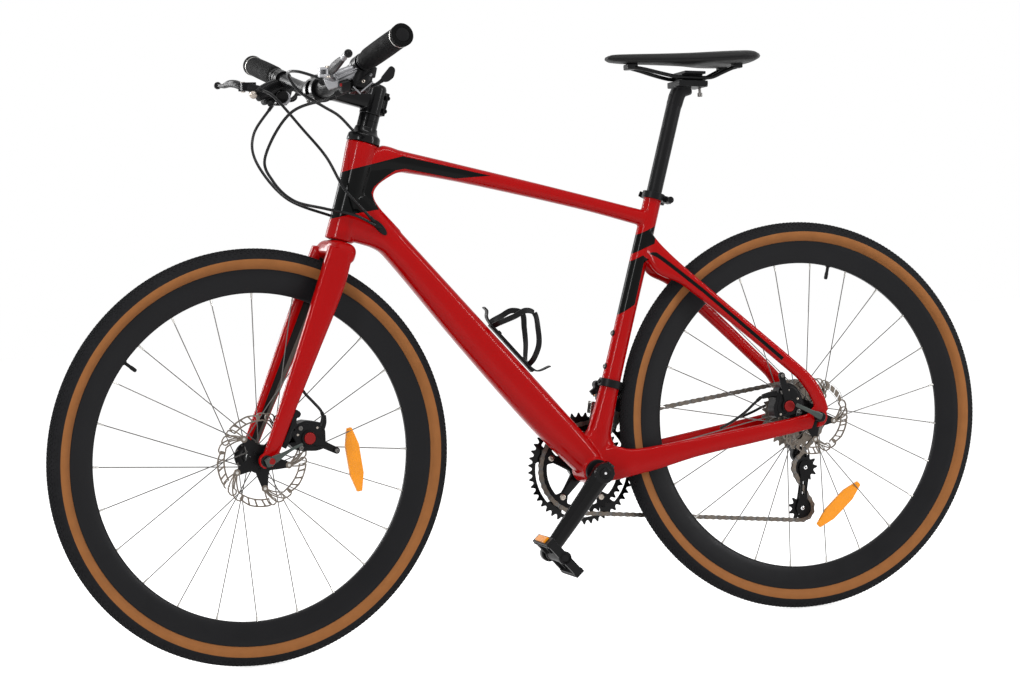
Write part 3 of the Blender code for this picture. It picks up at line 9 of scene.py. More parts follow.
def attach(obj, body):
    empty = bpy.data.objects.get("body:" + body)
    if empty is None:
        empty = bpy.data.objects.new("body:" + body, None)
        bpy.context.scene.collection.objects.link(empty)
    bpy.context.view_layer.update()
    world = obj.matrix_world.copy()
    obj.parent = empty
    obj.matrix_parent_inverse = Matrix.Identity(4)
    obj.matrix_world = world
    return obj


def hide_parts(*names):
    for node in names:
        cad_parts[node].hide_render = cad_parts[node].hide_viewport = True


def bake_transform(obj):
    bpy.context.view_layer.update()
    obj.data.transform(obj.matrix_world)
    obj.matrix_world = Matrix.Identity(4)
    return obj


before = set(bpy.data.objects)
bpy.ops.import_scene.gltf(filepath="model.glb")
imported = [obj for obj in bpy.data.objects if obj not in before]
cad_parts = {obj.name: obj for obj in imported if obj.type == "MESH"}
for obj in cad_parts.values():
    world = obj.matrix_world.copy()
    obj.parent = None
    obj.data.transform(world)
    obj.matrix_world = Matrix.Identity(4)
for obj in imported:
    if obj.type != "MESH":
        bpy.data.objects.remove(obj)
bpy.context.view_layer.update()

X = Vector((1, 0, 0))
Y = Vector((0, 1, 0))
Z = Vector((0, 0, 1))

# Dimensions shared with the solids
WHEEL_RADIUS = 0.351
SPOKES = 24
FRONT_SPOKE_PHASE = radians(13.3)
REAR_SPOKE_PHASE = radians(7.8)
HEAD_BOTTOM = Vector((-0.3384, 0, 0.7072))
HEAD_TOP = Vector((-0.2868, 0, 0.871))
BRACKET = Vector((0.094, 0, 0.282))
SEAT_TUBE_SLOPE = 0.3057
SEAT_TUBE_TOP = 0.7655
FRONT_AXLE = Vector((-0.506, 0, WHEEL_RADIUS))
REAR_AXLE = Vector((0.506, 0, WHEEL_RADIUS))
KNOB_DEPTH = 0.0016
FRONT_DROPOUT = 0.05
REAR_DROPOUT = 0.0675
REST_STEER = radians(7.8)
STEERED = (
    "steering", "front_wheel", "front_brake_arm", "front_axle_lever", "left_brake_lever", "right_brake_lever",
    "left_shift_lever", "right_shift_lever",
)
CRANK_LENGTH = 0.17
CRANK_ANGLE = radians(229)
SPIDER_ANGLE = radians(158)
ROTOR_PHASE = radians(57)
ROTOR_HALF = 0.0009
FRONT_ROTOR_Y = -0.0395
REAR_ROTOR_Y = -0.052
CHAIN_PITCH = 0.0127
OUTER_RING_TEETH = 48
INNER_RING_TEETH = 39
OUTER_RING_Y = 0.046
INNER_RING_Y = 0.041
SPROCKETS = (30, 27, 24, 21, 18, 16, 14, 12, 11)
SPROCKET_SPACING = 0.00434
SPROCKET_HALF = 0.0009
RING_HALF = 0.0008
RING_BOLTS = 0.062
CRANK_FACE = 0.0757
PINCH_Y = 0.0655
PEDAL_MIDDLE = 0.125
LARGE_SPROCKET_Y = 0.0278
PULLEY_TEETH = 11
GUIDE_PULLEY = Vector((0.522, 0, 0.252))
TENSION_PULLEY = Vector((0.512, 0, 0.178))
DROPOUT_PLATE = 0.007
FORK_PLATE = 0.011
HEAD_BORE = 0.018
SHELL_BORE = 0.0175
SEATPOST_BORE = 0.014
SEATPOST_BORE_END = 0.465
STEERER_BORE = 0.0148
BAR_BORE = 0.0164
CONTROL_BORE = 0.0114
SIDE_WALL_TOP = 0.3335
CAGE_HALF_GAP = 0.0037
CAGE_PLATE = 0.0015
BAR_CENTRE = Vector((-0.3617, 0, 0.963))
BAR_FLAT = 0.045
BAR_RISE = 0.209
BAR_END = 0.35
GRIP_START = 0.2053
LEVER_SEAT = 0.188
HOUSING_RADIUS = 0.0025

SIDES = (("left", -1), ("right", 1))
CORNERS = ((-1, -1), (1, -1), (1, 1), (-1, 1))
AXIS = (HEAD_TOP - HEAD_BOTTOM).normalized()
FORWARD = Y.cross(AXIS) * -1
HEAD_LENGTH = (HEAD_TOP - HEAD_BOTTOM).length
SEAT_AXIS = Vector((SEAT_TUBE_SLOPE, 0, 1)).normalized()
SEAT_BACK = SEAT_AXIS.cross(Y).normalized()
SEAT_BACK = SEAT_BACK if SEAT_BACK.x > 0 else -SEAT_BACK
STEER = (
    Matrix.Translation(HEAD_BOTTOM) @ Quaternion(AXIS, REST_STEER).to_matrix().to_4x4()
    @ Matrix.Translation(-HEAD_BOTTOM)
)


# Materials

def preset(node, **values):
    """Sets a node's own inputs; an underscore stands for a space in an input's name."""
    for name, value in values.items():
        node.inputs[name.replace("_", " ")].default_value = value
    return node


def finish_of(name, colour, roughness, metallic=0.0, grain=(900, 0.05), uneven=(0.1, 25), rough_vary=0.06,
              coat=0.0, sheen=0.0, pattern="Noise", specular=0.25):
    """A finish with a colour, roughness and bump that vary over the surface, in object coordinates."""
    made = bpy.data.materials.new(name)
    made.use_nodes = True
    nodes, links = made.node_tree.nodes, made.node_tree.links
    shader = preset(nodes["Principled BSDF"], Metallic=metallic, Coat_Weight=coat, Coat_Roughness=0.06,
                    Sheen_Weight=sheen, Specular_IOR_Level=specular)
    place = nodes.new("ShaderNodeTexCoord")
    patch = preset(nodes.new("ShaderNodeTexNoise"), Scale=uneven[1], Detail=6)
    blend = nodes.new("ShaderNodeMix")
    blend.data_type = "RGBA"
    blend.inputs[6].default_value = (*[c * (1 - uneven[0]) for c in colour], 1)
    blend.inputs[7].default_value = (*[min(1, c * (1 + uneven[0])) for c in colour], 1)
    links.new(patch.outputs["Fac"], blend.inputs[0])
    links.new(blend.outputs[2], shader.inputs["Base Color"])

    smear = preset(nodes.new("ShaderNodeTexNoise"), Scale=uneven[1] * 2.3, Detail=5)
    spread = preset(nodes.new("ShaderNodeMapRange"), From_Min=0.3, From_Max=0.7,
                    To_Min=max(0.02, roughness - rough_vary), To_Max=min(1.0, roughness + rough_vary))
    links.new(smear.outputs["Fac"], spread.inputs["Value"])
    links.new(spread.outputs["Result"], shader.inputs["Roughness"])

    relief = preset(nodes.new("ShaderNodeTex" + pattern), Scale=grain[0])
    bump = preset(nodes.new("ShaderNodeBump"), Strength=grain[1], Distance=0.0004)
    links.new(relief.outputs[0], bump.inputs["Height"])
    links.new(bump.outputs["Normal"], shader.inputs["Normal"])
    for texture in (patch, smear, relief):
        links.new(place.outputs["Object"], texture.inputs["Vector"])
    return made


RED = finish_of("red_gloss_paint", (0.345, 0.001, 0.0014), 0.2, grain=(700, 0.03), uneven=(0.04, 40),
                coat=0.16, specular=0.04)
BLACK_PAINT = finish_of("black_gloss_paint", (0.002, 0.0022, 0.0022), 0.22, grain=(700, 0.03), coat=0.14,
                        specular=0.03)
GREY_INNER = finish_of("grey_brown_paint", (0.085, 0.07, 0.062), 0.34, coat=0.03, specular=0.06)
DARK_INNER = finish_of("black_inner_paint", (0.01, 0.008, 0.008), 0.34, coat=0.03, specular=0.06)
BLACK_METAL = finish_of("black_anodised", (0.005, 0.005, 0.0055), 0.36, grain=(2600, 0.08), specular=0.1)
SATIN_METAL = finish_of("satin_black_alloy", (0.0055, 0.0055, 0.006), 0.4, grain=(3200, 0.1), specular=0.1)
GLOSS_METAL = finish_of("gloss_black_alloy", (0.0025, 0.0025, 0.0028), 0.22, grain=(1500, 0.04), coat=0.14,
                        specular=0.08)
RIM_FINISH = finish_of("rim_black", (0.009, 0.009, 0.01), 0.36, 0.1, grain=(1800, 0.1), uneven=(0.15, 12),
                       specular=0.1)
STEEL = finish_of("brushed_steel", (0.42, 0.41, 0.39), 0.3, 1.0, grain=(2200, 0.15), uneven=(0.14, 60))
WORN_STEEL = finish_of("worn_steel", (0.13, 0.11, 0.092), 0.36, 0.85, grain=(2200, 0.15), uneven=(0.25, 70))
BOLT_STEEL = finish_of("bolt_steel", (0.36, 0.32, 0.28), 0.28, 1.0, grain=(2200, 0.12), uneven=(0.15, 70))
DARK_STEEL = finish_of("dark_steel", (0.12, 0.115, 0.11), 0.36, 0.9, grain=(2200, 0.15), uneven=(0.2, 70))
SILVER = finish_of("polished_silver", (0.66, 0.66, 0.67), 0.2, 1.0, grain=(1600, 0.06), uneven=(0.06, 80))
# Grey cast alloy for real trims and pivots; it also stands in for painted highlights on the left brake lever.
GREY_CAST_AND_PAINTED_HIGHLIGHT = finish_of("grey_cast_alloy_and_painted_highlight", (0.24, 0.24, 0.25), 0.38, 0.8, grain=(2000, 0.2), uneven=(0.12, 60))
QUICK_RELEASE = finish_of("grey_lever_alloy", (0.055, 0.065, 0.06), 0.36, 0.4, grain=(2400, 0.1),
                          specular=0.12)
PLASTIC = finish_of("black_moulded_plastic", (0.005, 0.005, 0.0055), 0.42, grain=(2400, 0.18),
                    rough_vary=0.08, specular=0.12)
RUBBER = finish_of("tread_rubber", (0.012, 0.012, 0.013), 0.8, grain=(1600, 0.35), uneven=(0.22, 30),
                   specular=0.08)
GRIP_RUBBER = finish_of("grip_rubber", (0.003, 0.003, 0.0032), 0.66, grain=(2400, 0.4), pattern="Voronoi",
                        specular=0.05)
TAN = finish_of("tan_side_wall", (0.27, 0.105, 0.032), 0.62, grain=(1500, 0.45), uneven=(0.16, 45),
                sheen=0.05, specular=0.1)
SADDLE = finish_of("saddle_leatherette", (0.01, 0.01, 0.01), 0.5, grain=(1500, 0.35), pattern="Voronoi",
                   specular=0.14)
JACKET = finish_of("cable_jacket", (0.004, 0.004, 0.0045), 0.3, grain=(1500, 0.08), coat=0.14, specular=0.1)
RED_METAL = finish_of("red_anodised", (0.2, 0.01, 0.01), 0.3, 0.5, grain=(2000, 0.08), specular=0.15)
ORANGE = finish_of("orange_reflector", (0.88, 0.3, 0.008), 0.22, grain=(420, 0.9), pattern="Voronoi",
                   coat=0.25, specular=0.15)


# Shapes: each one is (points, faces, slot)

def skin(rings, closed=False, slot=0):
    """A closed shape through rings of points; the last ring meets the first one, or both ends are capped."""
    count = len(rings[0])
    points = [Vector(point) for ring in rings for point in ring]
    faces = []
    spans = len(rings) if closed else len(rings) - 1
    for r in range(spans):
        low = r * count
        high = ((r + 1) % len(rings)) * count
        for i in range(count):
            j = (i + 1) % count
            faces.append((low + i, low + j, high + j, high + i))
    if not closed:
        faces.append(tuple(range(count)))
        faces.append(tuple(range((len(rings) - 1) * count, len(rings) * count)))
    return points, faces, slot


def across(axis):
    first = X if abs(axis.y) > 0.5 else Y
    first = (first - axis * first.dot(axis)).normalized()
    return first, axis.cross(first)


def turned(profile, origin, axis, sides=48, phase=0.0, slot=0):
    """A turned solid from (distance along the axis, radius) pairs."""
    first, second = across(axis)
    rings = []
    for along, radius in profile:
        centre = origin + axis * along
        angles = [phase + 2 * pi * i / sides for i in range(sides)]
        rings.append([centre + (first * cos(a) + second * sin(a)) * radius for a in angles])
    return skin(rings, slot=slot)


def hollow(profile, origin, axis, sides=48, slot=0):
    """A turned ring from a closed outline of (distance along the axis, radius) pairs."""
    first, second = across(axis)
    rings = []
    for i in range(sides):
        angle = 2 * pi * i / sides
        outward = first * cos(angle) + second * sin(angle)
        rings.append([origin + axis * along + outward * radius for along, radius in profile])
    return skin(rings, closed=True, slot=slot)


def rod(start, end, radius, sides=20, slot=0):
    line = Vector(end) - Vector(start)
    return turned([(0, radius), (line.length, radius)], Vector(start), line.normalized(), sides, slot=slot)


def from_side(points):
    """The (x, z) outline of points, as seen from the side."""
    return [(p.x, p.z) for p in points]


def square_to(line):
    """A line turned a quarter, as seen from the side."""
    return Vector((-line.z, 0, line.x))


def ray(angle):
    return Vector((cos(angle), 0, sin(angle)))


def banded(low, high, inner, outer, edge, drop):
    """The profile of a ring with its outer corners cut off, edge along the axis and drop towards it."""
    return [(low, inner), (low, outer - drop), (low + edge, outer), (high - edge, outer),
            (high, outer - drop), (high, inner)]


def disc(centre, radius, low, high, sides=32):
    """A round plate across the bicycle."""
    return turned([(low, radius), (high, radius)], Vector((centre.x, 0, centre.z)), Y, sides)


def screw(head, axis, radius, slot=0, tall=None):
    """A button head with a hexagon socket, standing along the axis from its seat."""
    tall = tall or radius * 0.7
    axis = Vector(axis).normalized()
    dome = [(-0.0008, radius), (tall * 0.55, radius), (tall * 0.9, radius * 0.86), (tall, radius * 0.62)]
    outside = turned(dome, Vector(head), axis, 20, slot=slot)
    points, faces, _ = outside
    first, second = across(axis)
    start = len(points)
    rim = len(points) - 20
    faces.pop()
    floor = Vector(head) + axis * tall * 0.3
    for level in (Vector(head) + axis * tall, floor):
        for i in range(20):
            angle = 2 * pi * i / 20
            shape = 0.5 * radius * cos(pi / 6) / cos((angle + pi / 6) % (pi / 3) - pi / 6)
            points.append(level + (first * cos(angle) + second * sin(angle)) * shape)
    for low, high in ((rim, start), (start, start + 20)):
        for i in range(20):
            j = (i + 1) % 20
            faces.append((low + i, low + j, high + j, high + i))
    faces.append(tuple(range(start + 20, start + 40)))
    return points, faces, slot


def oval(centre, half_up, half_side, sides=32, squareness=2.0):
    """A ring of points round a centre, between an ellipse and, as squareness grows, a rectangle."""
    ring = []
    for i in range(sides):
        c = cos(2 * pi * i / sides)
        s = sin(2 * pi * i / sides)
        power = 2 / squareness
        up = abs(c) ** power * (1 if c >= 0 else -1)
        side = abs(s) ** power * (1 if s >= 0 else -1)
        ring.append(centre + half_up * up + half_side * side)
    return ring


def refine(rows, step, measured=3):
    """Rows of numbers with smooth rows between them, about a step apart in their first few numbers."""
    marks = [0.0]
    for a, b in zip(rows, rows[1:]):
        marks.append(marks[-1] + max(1e-6, dist(a[:measured], b[:measured])))
    slopes = []
    last = len(rows) - 1
    for i in range(len(rows)):
        low, high = max(i - 1, 0), min(i + 1, last)
        slopes.append([(q - p) / (marks[high] - marks[low]) for p, q in zip(rows[low], rows[high])])
    made = []
    for i in range(last):
        span = marks[i + 1] - marks[i]
        count = max(1, ceil(span / step))
        for k in range(count):
            t = k / count
            a, b = 2 * t ** 3 - 3 * t ** 2 + 1, t ** 3 - 2 * t ** 2 + t
            c, d = 3 * t ** 2 - 2 * t ** 3, t ** 3 - t ** 2
            made.append([
                a * p + b * span * m + c * q + d * span * n
                for p, m, q, n in zip(rows[i], slopes[i], rows[i + 1], slopes[i + 1])
            ])
    made.append(list(rows[-1]))
    return made


def edge_loft(stations, sides=36, squareness=2.0, step=0.006):
    """A smooth tube from its two edges seen from the side: (upper x, z, lower x, z, middle y, half width)."""
    rings = []
    for upper_x, upper_z, lower_x, lower_z, middle, half_width in refine(stations, step, 4):
        upper = Vector((upper_x, middle, upper_z))
        lower = Vector((lower_x, middle, lower_z))
        rings.append(oval((upper + lower) / 2, (upper - lower) / 2, Y * half_width, sides, squareness))
    return skin(rings)


def domed(rings, reach):
    """Rings with two smaller ones beyond each end, which close it softly."""
    caps = []
    for end, other in ((rings[0], rings[1]), (rings[-1], rings[-2])):
        centre = sum(end, Vector()) / len(end)
        outward = (centre - sum(other, Vector()) / len(other)).normalized()
        for share, out in ((0.86, 0.6), (0.5, 1.0)):
            caps.append([centre + (p - centre) * share + outward * reach * out for p in end])
    return [caps[1], caps[0], *rings, *caps[2:]]


def sweep(points, sizes, sides=20, squareness=2.0, side=Y, step=0.003, slot=0, dome=0.0):
    """A smooth bar along a route: sizes gives (half height, half width), once or at every point."""
    if isinstance(sizes, tuple):
        sizes = [sizes] * len(points)
    rows = refine([(*point, *size) for point, size in zip(points, sizes)], step)
    rings = []
    for i, row in enumerate(rows):
        ahead = Vector(rows[min(i + 1, len(rows) - 1)][:3])
        behind = Vector(rows[max(i - 1, 0)][:3])
        along = (ahead - behind).normalized()
        level = (side - along * side.dot(along)).normalized()
        up = level.cross(along)
        rings.append(oval(Vector(row[:3]), up * row[3], level * row[4], sides, squareness))
    if dome:
        rings = domed(rings, dome)
    return skin(rings, slot=slot)


def smooth_route(points, spacing):
    """Points at even steps on a smooth curve through the given ones."""
    points = [Vector(point) for point in points]
    padded = [points[0] * 2 - points[1], *points, points[-1] * 2 - points[-2]]
    fine = []
    for a, b, c, d in zip(padded, padded[1:], padded[2:], padded[3:]):
        for step in range(20):
            t = step / 20
            fine.append(0.5 * (
                2 * b + (c - a) * t + (2 * a - 5 * b + 4 * c - d) * t ** 2 + (3 * b - a - 3 * c + d) * t ** 3
            ))
    fine.append(points[-1])
    total = sum((q - p).length for p, q in zip(fine, fine[1:]))
    count = max(2, round(total / spacing))
    made = [fine[0]]
    walked = 0.0
    for p, q in zip(fine, fine[1:]):
        length = (q - p).length
        while len(made) < count and walked + length >= total * len(made) / count:
            made.append(p.lerp(q, (total * len(made) / count - walked) / length))
        walked += length
    made.append(fine[-1])
    return made


def tube(route, radius, sides=14):
    """A round tube along a route of close points, with a section that doesn't twist."""
    level, _ = across((route[1] - route[0]).normalized())
    rings = []
    for i, point in enumerate(route):
        along = (route[min(i + 1, len(route) - 1)] - route[max(i - 1, 0)]).normalized()
        level = (level - along * level.dot(along)).normalized()
        rings.append(oval(point, level * radius, along.cross(level) * radius, sides))
    return skin(rings)


def plate(outlines, low, high, slot=0):
    """Outlines of (x, z) points, the others being holes in the first, drawn out from y = low to y = high."""
    flat = [[Vector((x, z, 0)) for x, z in outline] for outline in outlines]
    triangles = tessellate_polygon(flat)
    ring = [(p.x, p.y) for outline in flat for p in outline]
    count = len(ring)
    points = [Vector((x, y, z)) for y in (low, high) for x, z in ring]
    faces = [tuple(t) for t in triangles] + [tuple(i + count for i in reversed(t)) for t in triangles]
    start = 0
    for outline in outlines:
        size = len(outline)
        for i in range(size):
            j = (i + 1) % size
            faces.append((start + i, start + j, count + start + j, count + start + i))
        start += size
    return points, faces, slot


def block(centre, size, turn=None):
    turn = turn or Matrix.Identity(3)
    half = Vector(size) / 2
    rings = []
    for c in (-1, 1):
        ring = [Vector((half.x * a, half.y * b, half.z * c)) for a, b in CORNERS]
        rings.append([Vector(centre) + turn @ corner for corner in ring])
    return skin(rings)


def bar_between(start, end, width, depth, slot=0):
    start, end = Vector(start), Vector(end)
    along = (end - start).normalized()
    level = (Y - along * Y.dot(along)).normalized() * width / 2
    up = level.cross(along).normalized() * depth / 2
    return skin([[point + level * a + up * b for a, b in CORNERS] for point in (start, end)], slot=slot)


def mirrored(shape):
    points, faces, slot = shape
    return [Vector((p.x, -p.y, p.z)) for p in points], list(faces), slot


# Objects

def mesh_of(shapes):
    """One mesh of several shapes, with doubled points merged and every face turned outward."""
    build = bmesh.new()
    for points, faces, slot in shapes:
        made = [build.verts.new(p) for p in points]
        for face in faces:
            try:
                build.faces.new([made[i] for i in face]).material_index = slot
            except ValueError:
                continue
    bmesh.ops.remove_doubles(build, verts=build.verts, dist=1e-6)
    bmesh.ops.recalc_face_normals(build, faces=build.faces)
    mesh = bpy.data.meshes.new("shape")
    build.to_mesh(mesh)
    build.free()
    return mesh


def object_of(name, mesh):
    made = bpy.data.objects.new(name, mesh)
    bpy.context.scene.collection.objects.link(made)
    return made


def settled(piece):
    """The piece with its modifiers worked into its mesh."""
    bpy.context.view_layer.update()
    graph = bpy.context.evaluated_depsgraph_get()
    mesh = bpy.data.meshes.new_from_object(piece.evaluated_get(graph))
    piece.modifiers.clear()
    piece.data = mesh
    return piece


def welded(name, shapes, voxel, rounds, cuts=()):
    """Overlapping closed shapes as one skin with soft welds, and then bored."""
    piece = object_of(name, mesh_of(shapes))
    remesh = piece.modifiers.new("remesh", "REMESH")
    remesh.mode = "VOXEL"
    remesh.voxel_size = voxel
    smooth = piece.modifiers.new("smooth", "SMOOTH")
    smooth.factor = 0.5
    smooth.iterations = rounds
    settled(piece)
    return carved(piece, cuts)


def carved(piece, cuts):
    """A piece with other shapes, which don't touch each other, cut out of it."""
    if not cuts:
        return piece
    tool = object_of("tool", mesh_of(cuts))
    cut = piece.modifiers.new("cut", "BOOLEAN")
    cut.operation = "DIFFERENCE"
    cut.solver = "EXACT"
    cut.object = tool
    settled(piece)
    bpy.data.objects.remove(tool)
    return piece


def dress(mesh, finishes):
    """Gives a mesh its finishes; each face keeps its slot."""
    slots = [face.material_index for face in mesh.polygons]
    mesh.materials.clear()
    for finish in finishes:
        mesh.materials.append(finish)
    mesh.polygons.foreach_set("material_index", slots)


def place(piece, finishes, body, replaces=(), steer=True, bevel=0.0, angle=35):
    """Turns a made object into a piece of the scene: finish, place, edges, body.

    A shape whose body turns with the bar is made with the bar straight and turned here, unless steer is off.
    """
    if steer and body in STEERED:
        piece.data.transform(STEER)
    dress(piece.data, finishes)
    if bevel:
        edge = piece.modifiers.new("edge", "BEVEL")
        edge.width = bevel
        edge.segments = 2
        edge.limit_method = "ANGLE"
        edge.angle_limit = radians(angle)
        edge.use_clamp_overlap = True
        settled(piece)
    piece.data.shade_smooth()
    piece.data.set_sharp_from_angle(angle=radians(angle))
    if body:
        weight = piece.modifiers.new("weight", "WEIGHTED_NORMAL")
        weight.keep_sharp = True
        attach(piece, body)
    if replaces:
        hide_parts(*replaces)
    return piece


def piece_of(name, shapes, finishes, body, replaces=(), steer=True, bevel=0.0, angle=35, cuts=()):
    """Shapes with overlapping insides as one piece of the scene, with other shapes cut out."""
    made = object_of(name, mesh_of(shapes))
    dress(made.data, finishes)
    carved(made, cuts)
    return place(made, finishes, body, replaces, steer, bevel, angle)


def on_axis(along, forward=0.0, side=0.0):
    return HEAD_BOTTOM + AXIS * along + FORWARD * forward + Y * side


def seat_point(height):
    return Vector((BRACKET.x + SEAT_TUBE_SLOPE * (height - BRACKET.z), 0, height))


def pitch_radius(teeth):
    return CHAIN_PITCH / (2 * sin(pi / teeth))


def polar(centre, radius, angle, y=0.0):
    return Vector((centre.x + cos(angle) * radius, y, centre.z + sin(angle) * radius))


def circle(centre, radius, count):
    """An outline of (x, z) points."""
    return from_side(polar(centre, radius, 2 * pi * i / count) for i in range(count))


# Frame

def head_tube():
    return turned(refine([
        (0, 0.0243), (0.012, 0.0243), (0.035, 0.0237), (0.085, 0.0238), (0.12, 0.0248), (0.155, 0.0268),
        (HEAD_LENGTH, 0.0274),
    ], 0.006, 2), HEAD_BOTTOM, AXIS)


def top_tube():
    return edge_loft([(x, top, x, top - depth, 0, half_width) for x, top, depth, half_width in (
        (-0.285, 0.859, 0.038, 0.0185), (-0.263, 0.8625, 0.042, 0.019), (-0.254, 0.8664, 0.044, 0.019),
        (-0.24, 0.8634, 0.042, 0.0195), (-0.2237, 0.8573, 0.038, 0.0195), (-0.1767, 0.8446, 0.0338, 0.019),
        (-0.1156, 0.8282, 0.0306, 0.018), (0.0, 0.7972, 0.0282, 0.0165), (0.114, 0.7656, 0.0268, 0.0152),
        (0.201, 0.7411, 0.0288, 0.0142), (0.225, 0.7345, 0.03, 0.0135),
    )], 36, 2.5, 0.004)


def head_gusset():
    """The web behind the head tube, with a round inner corner."""
    corner = refine([
        (-0.21, 0.819), (-0.23, 0.8184), (-0.2484, 0.8104), (-0.2652, 0.7995), (-0.2748, 0.7866),
        (-0.2745, 0.7751), (-0.2652, 0.759), (-0.248, 0.7388), (-0.231, 0.719),
    ], 0.003, 2)
    outline = [tuple(point) for point in corner]
    outline += [(-0.25, 0.705), (-0.315, 0.75), (-0.295, 0.84), (-0.22, 0.83)]
    return plate([outline], -0.0142, 0.0142)


def bracket_web():
    """The web that joins seat tube, down tube and chainstays above the bracket shell."""
    return edge_loft([
        (0.138, 0.396, 0.115, 0.396, 0, 0.006),
        (0.137, 0.374, 0.104, 0.37, 0, 0.012),
        (0.135, 0.352, 0.085, 0.346, 0, 0.0165),
        (0.1365, 0.335, 0.07, 0.342, 0, 0.018),
        (0.142, 0.323, 0.064, 0.326, 0, 0.0185),
        (0.148, 0.316, 0.07, 0.305, 0, 0.018),
        (0.148, 0.296, 0.08, 0.288, 0, 0.015),
    ], 36, 2.6, 0.004)


def down_tube():
    return edge_loft([
        (-0.3, 0.8, -0.34, 0.712, 0, 0.0215),
        (-0.274, 0.769, -0.302, 0.7, 0, 0.023),
        (-0.255, 0.7466, -0.28, 0.692, 0, 0.024),
        (-0.225, 0.7115, -0.26, 0.677, 0, 0.025),
        (-0.0862, 0.549, -0.1323, 0.5119, 0, 0.026),
        (0.0335, 0.4089, -0.0145, 0.3678, 0, 0.0285),
        (0.108, 0.315, 0.065, 0.284, 0, 0.031),
        (0.112, 0.295, 0.085, 0.268, 0, 0.029),
    ], 40, 2.7)


def seat_tube():
    rows = refine([
        (0.282, 0.018, 0.02), (0.3, 0.0255, 0.02), (0.33, 0.024, 0.0195), (0.36, 0.021, 0.0185),
        (0.42, 0.0175, 0.017), (0.52, 0.0163, 0.016), (0.64, 0.016, 0.016), (SEAT_TUBE_TOP, 0.0159, 0.0159),
    ], 0.006)
    return skin([oval(seat_point(row[0]), -SEAT_BACK * row[1], Y * row[2], 40) for row in rows])


def chainstay():
    return edge_loft([
        (0.108, 0.318, 0.101, 0.264, 0.01, 0.01),
        (0.133, 0.324, 0.122, 0.2622, 0.019, 0.0106),
        (0.156, 0.3175, 0.144, 0.2655, 0.027, 0.0092),
        (0.18, 0.3168, 0.174, 0.271, 0.03, 0.0082),
        (0.2148, 0.3203, 0.2124, 0.2785, 0.036, 0.0085),
        (0.2853, 0.3292, 0.2834, 0.2956, 0.0465, 0.009),
        (0.3978, 0.3438, 0.401, 0.3147, 0.0605, 0.008),
        (0.45, 0.351, 0.454, 0.3236, 0.0663, 0.0072),
        (0.49, 0.358, 0.496, 0.3305, 0.0712, 0.0032),
    ], 32, 3.0, 0.004)


def seatstay():
    return edge_loft([
        (0.2205, 0.706, 0.212, 0.656, 0.011, 0.006),
        (0.244, 0.67, 0.23, 0.623, 0.023, 0.0085),
        (0.29, 0.622, 0.274, 0.599, 0.033, 0.0085),
        (0.4827, 0.4423, 0.467, 0.427, 0.065, 0.008),
        (0.503, 0.42, 0.483, 0.406, 0.0685, 0.0072),
        (0.52, 0.39, 0.496, 0.382, 0.0705, 0.005),
        (0.529, 0.362, 0.503, 0.356, 0.0712, 0.0032),
    ], 28, 3.0, 0.004)


def build_frame():
    shell = turned([(-0.034, 0.0235), (0.034, 0.0235)], BRACKET, Y)
    ends = disc(REAR_AXLE, 0.019, REAR_DROPOUT, REAR_DROPOUT + DROPOUT_PLATE)
    shapes = [
        head_tube(), top_tube(), down_tube(), head_gusset(), seat_tube(), shell, bracket_web(),
        rod((0.266, -0.03, 0.629), (0.266, 0.03, 0.629), 0.0065),
        rod((0.142, -0.028, 0.29), (0.142, 0.028, 0.29), 0.008),
    ]
    for shape in (chainstay(), seatstay(), ends):
        shapes += [shape, mirrored(shape)]
    slot_end = REAR_AXLE + Vector((-0.012, 0, -0.03))
    cuts = [
        turned([(-0.02, HEAD_BORE), (HEAD_LENGTH + 0.02, HEAD_BORE)], HEAD_BOTTOM, AXIS),
        turned([(-0.05, SHELL_BORE), (0.05, SHELL_BORE)], BRACKET, Y),
        rod(seat_point(SEATPOST_BORE_END), seat_point(SEAT_TUBE_TOP + 0.02), SEATPOST_BORE, 40),
    ]
    for side in (-1, 1):
        middle = Y * side * (REAR_DROPOUT + DROPOUT_PLATE / 2)
        cuts.append(bar_between(REAR_AXLE + middle, slot_end + middle, 0.014, 0.0102))
    piece = welded("frame_shell", shapes, 0.0018, 12, cuts)
    paint_frame(piece.data)
    place(piece, [RED, BLACK_PAINT], "frame", ("frame",), angle=50)


def slice_faces(build, faces, point, normal):
    """Cuts faces along a plane and returns all of them afterwards."""
    parts = list(faces) + [e for f in faces for e in f.edges] + [v for f in faces for v in f.verts]
    parts = list(dict.fromkeys(parts))
    result = bmesh.ops.bisect_plane(build, geom=parts, plane_co=point, plane_no=normal, dist=1e-5)
    return [g for g in result["geom"] if isinstance(g, bmesh.types.BMFace)]


def inside(outline, x, z):
    """Whether a point lies in an outline of (x, z) points."""
    hit = False
    for (x1, z1), (x2, z2) in zip(outline, outline[1:] + outline[:1]):
        if (z1 > z) != (z2 > z) and x < (x2 - x1) * (z - z1) / (z2 - z1) + x1:
            hit = not hit
    return hit


def painted(mesh, outlines, slot, wanted=lambda face: True):
    """Gives the faces inside outlines, seen from the side, another finish, cut cleanly along their edges."""
    build = bmesh.new()
    build.from_mesh(mesh)
    for outline in outlines:
        low_x, high_x = min(p[0] for p in outline) - 0.004, max(p[0] for p in outline) + 0.004
        low_z, high_z = min(p[1] for p in outline) - 0.004, max(p[1] for p in outline) + 0.004
        faces = []
        for face in build.faces:
            middle = face.calc_center_median()
            if low_x < middle.x < high_x and low_z < middle.z < high_z and wanted(face):
                faces.append(face)
        for (x1, z1), (x2, z2) in zip(outline, outline[1:] + outline[:1]):
            normal = Vector((z2 - z1, 0, x1 - x2)).normalized()
            faces = slice_faces(build, faces, Vector((x1, 0, z1)), normal)
        for face in faces:
            middle = face.calc_center_median()
            if inside(outline, middle.x, middle.z):
                face.material_index = slot
    build.to_mesh(mesh)
    build.free()


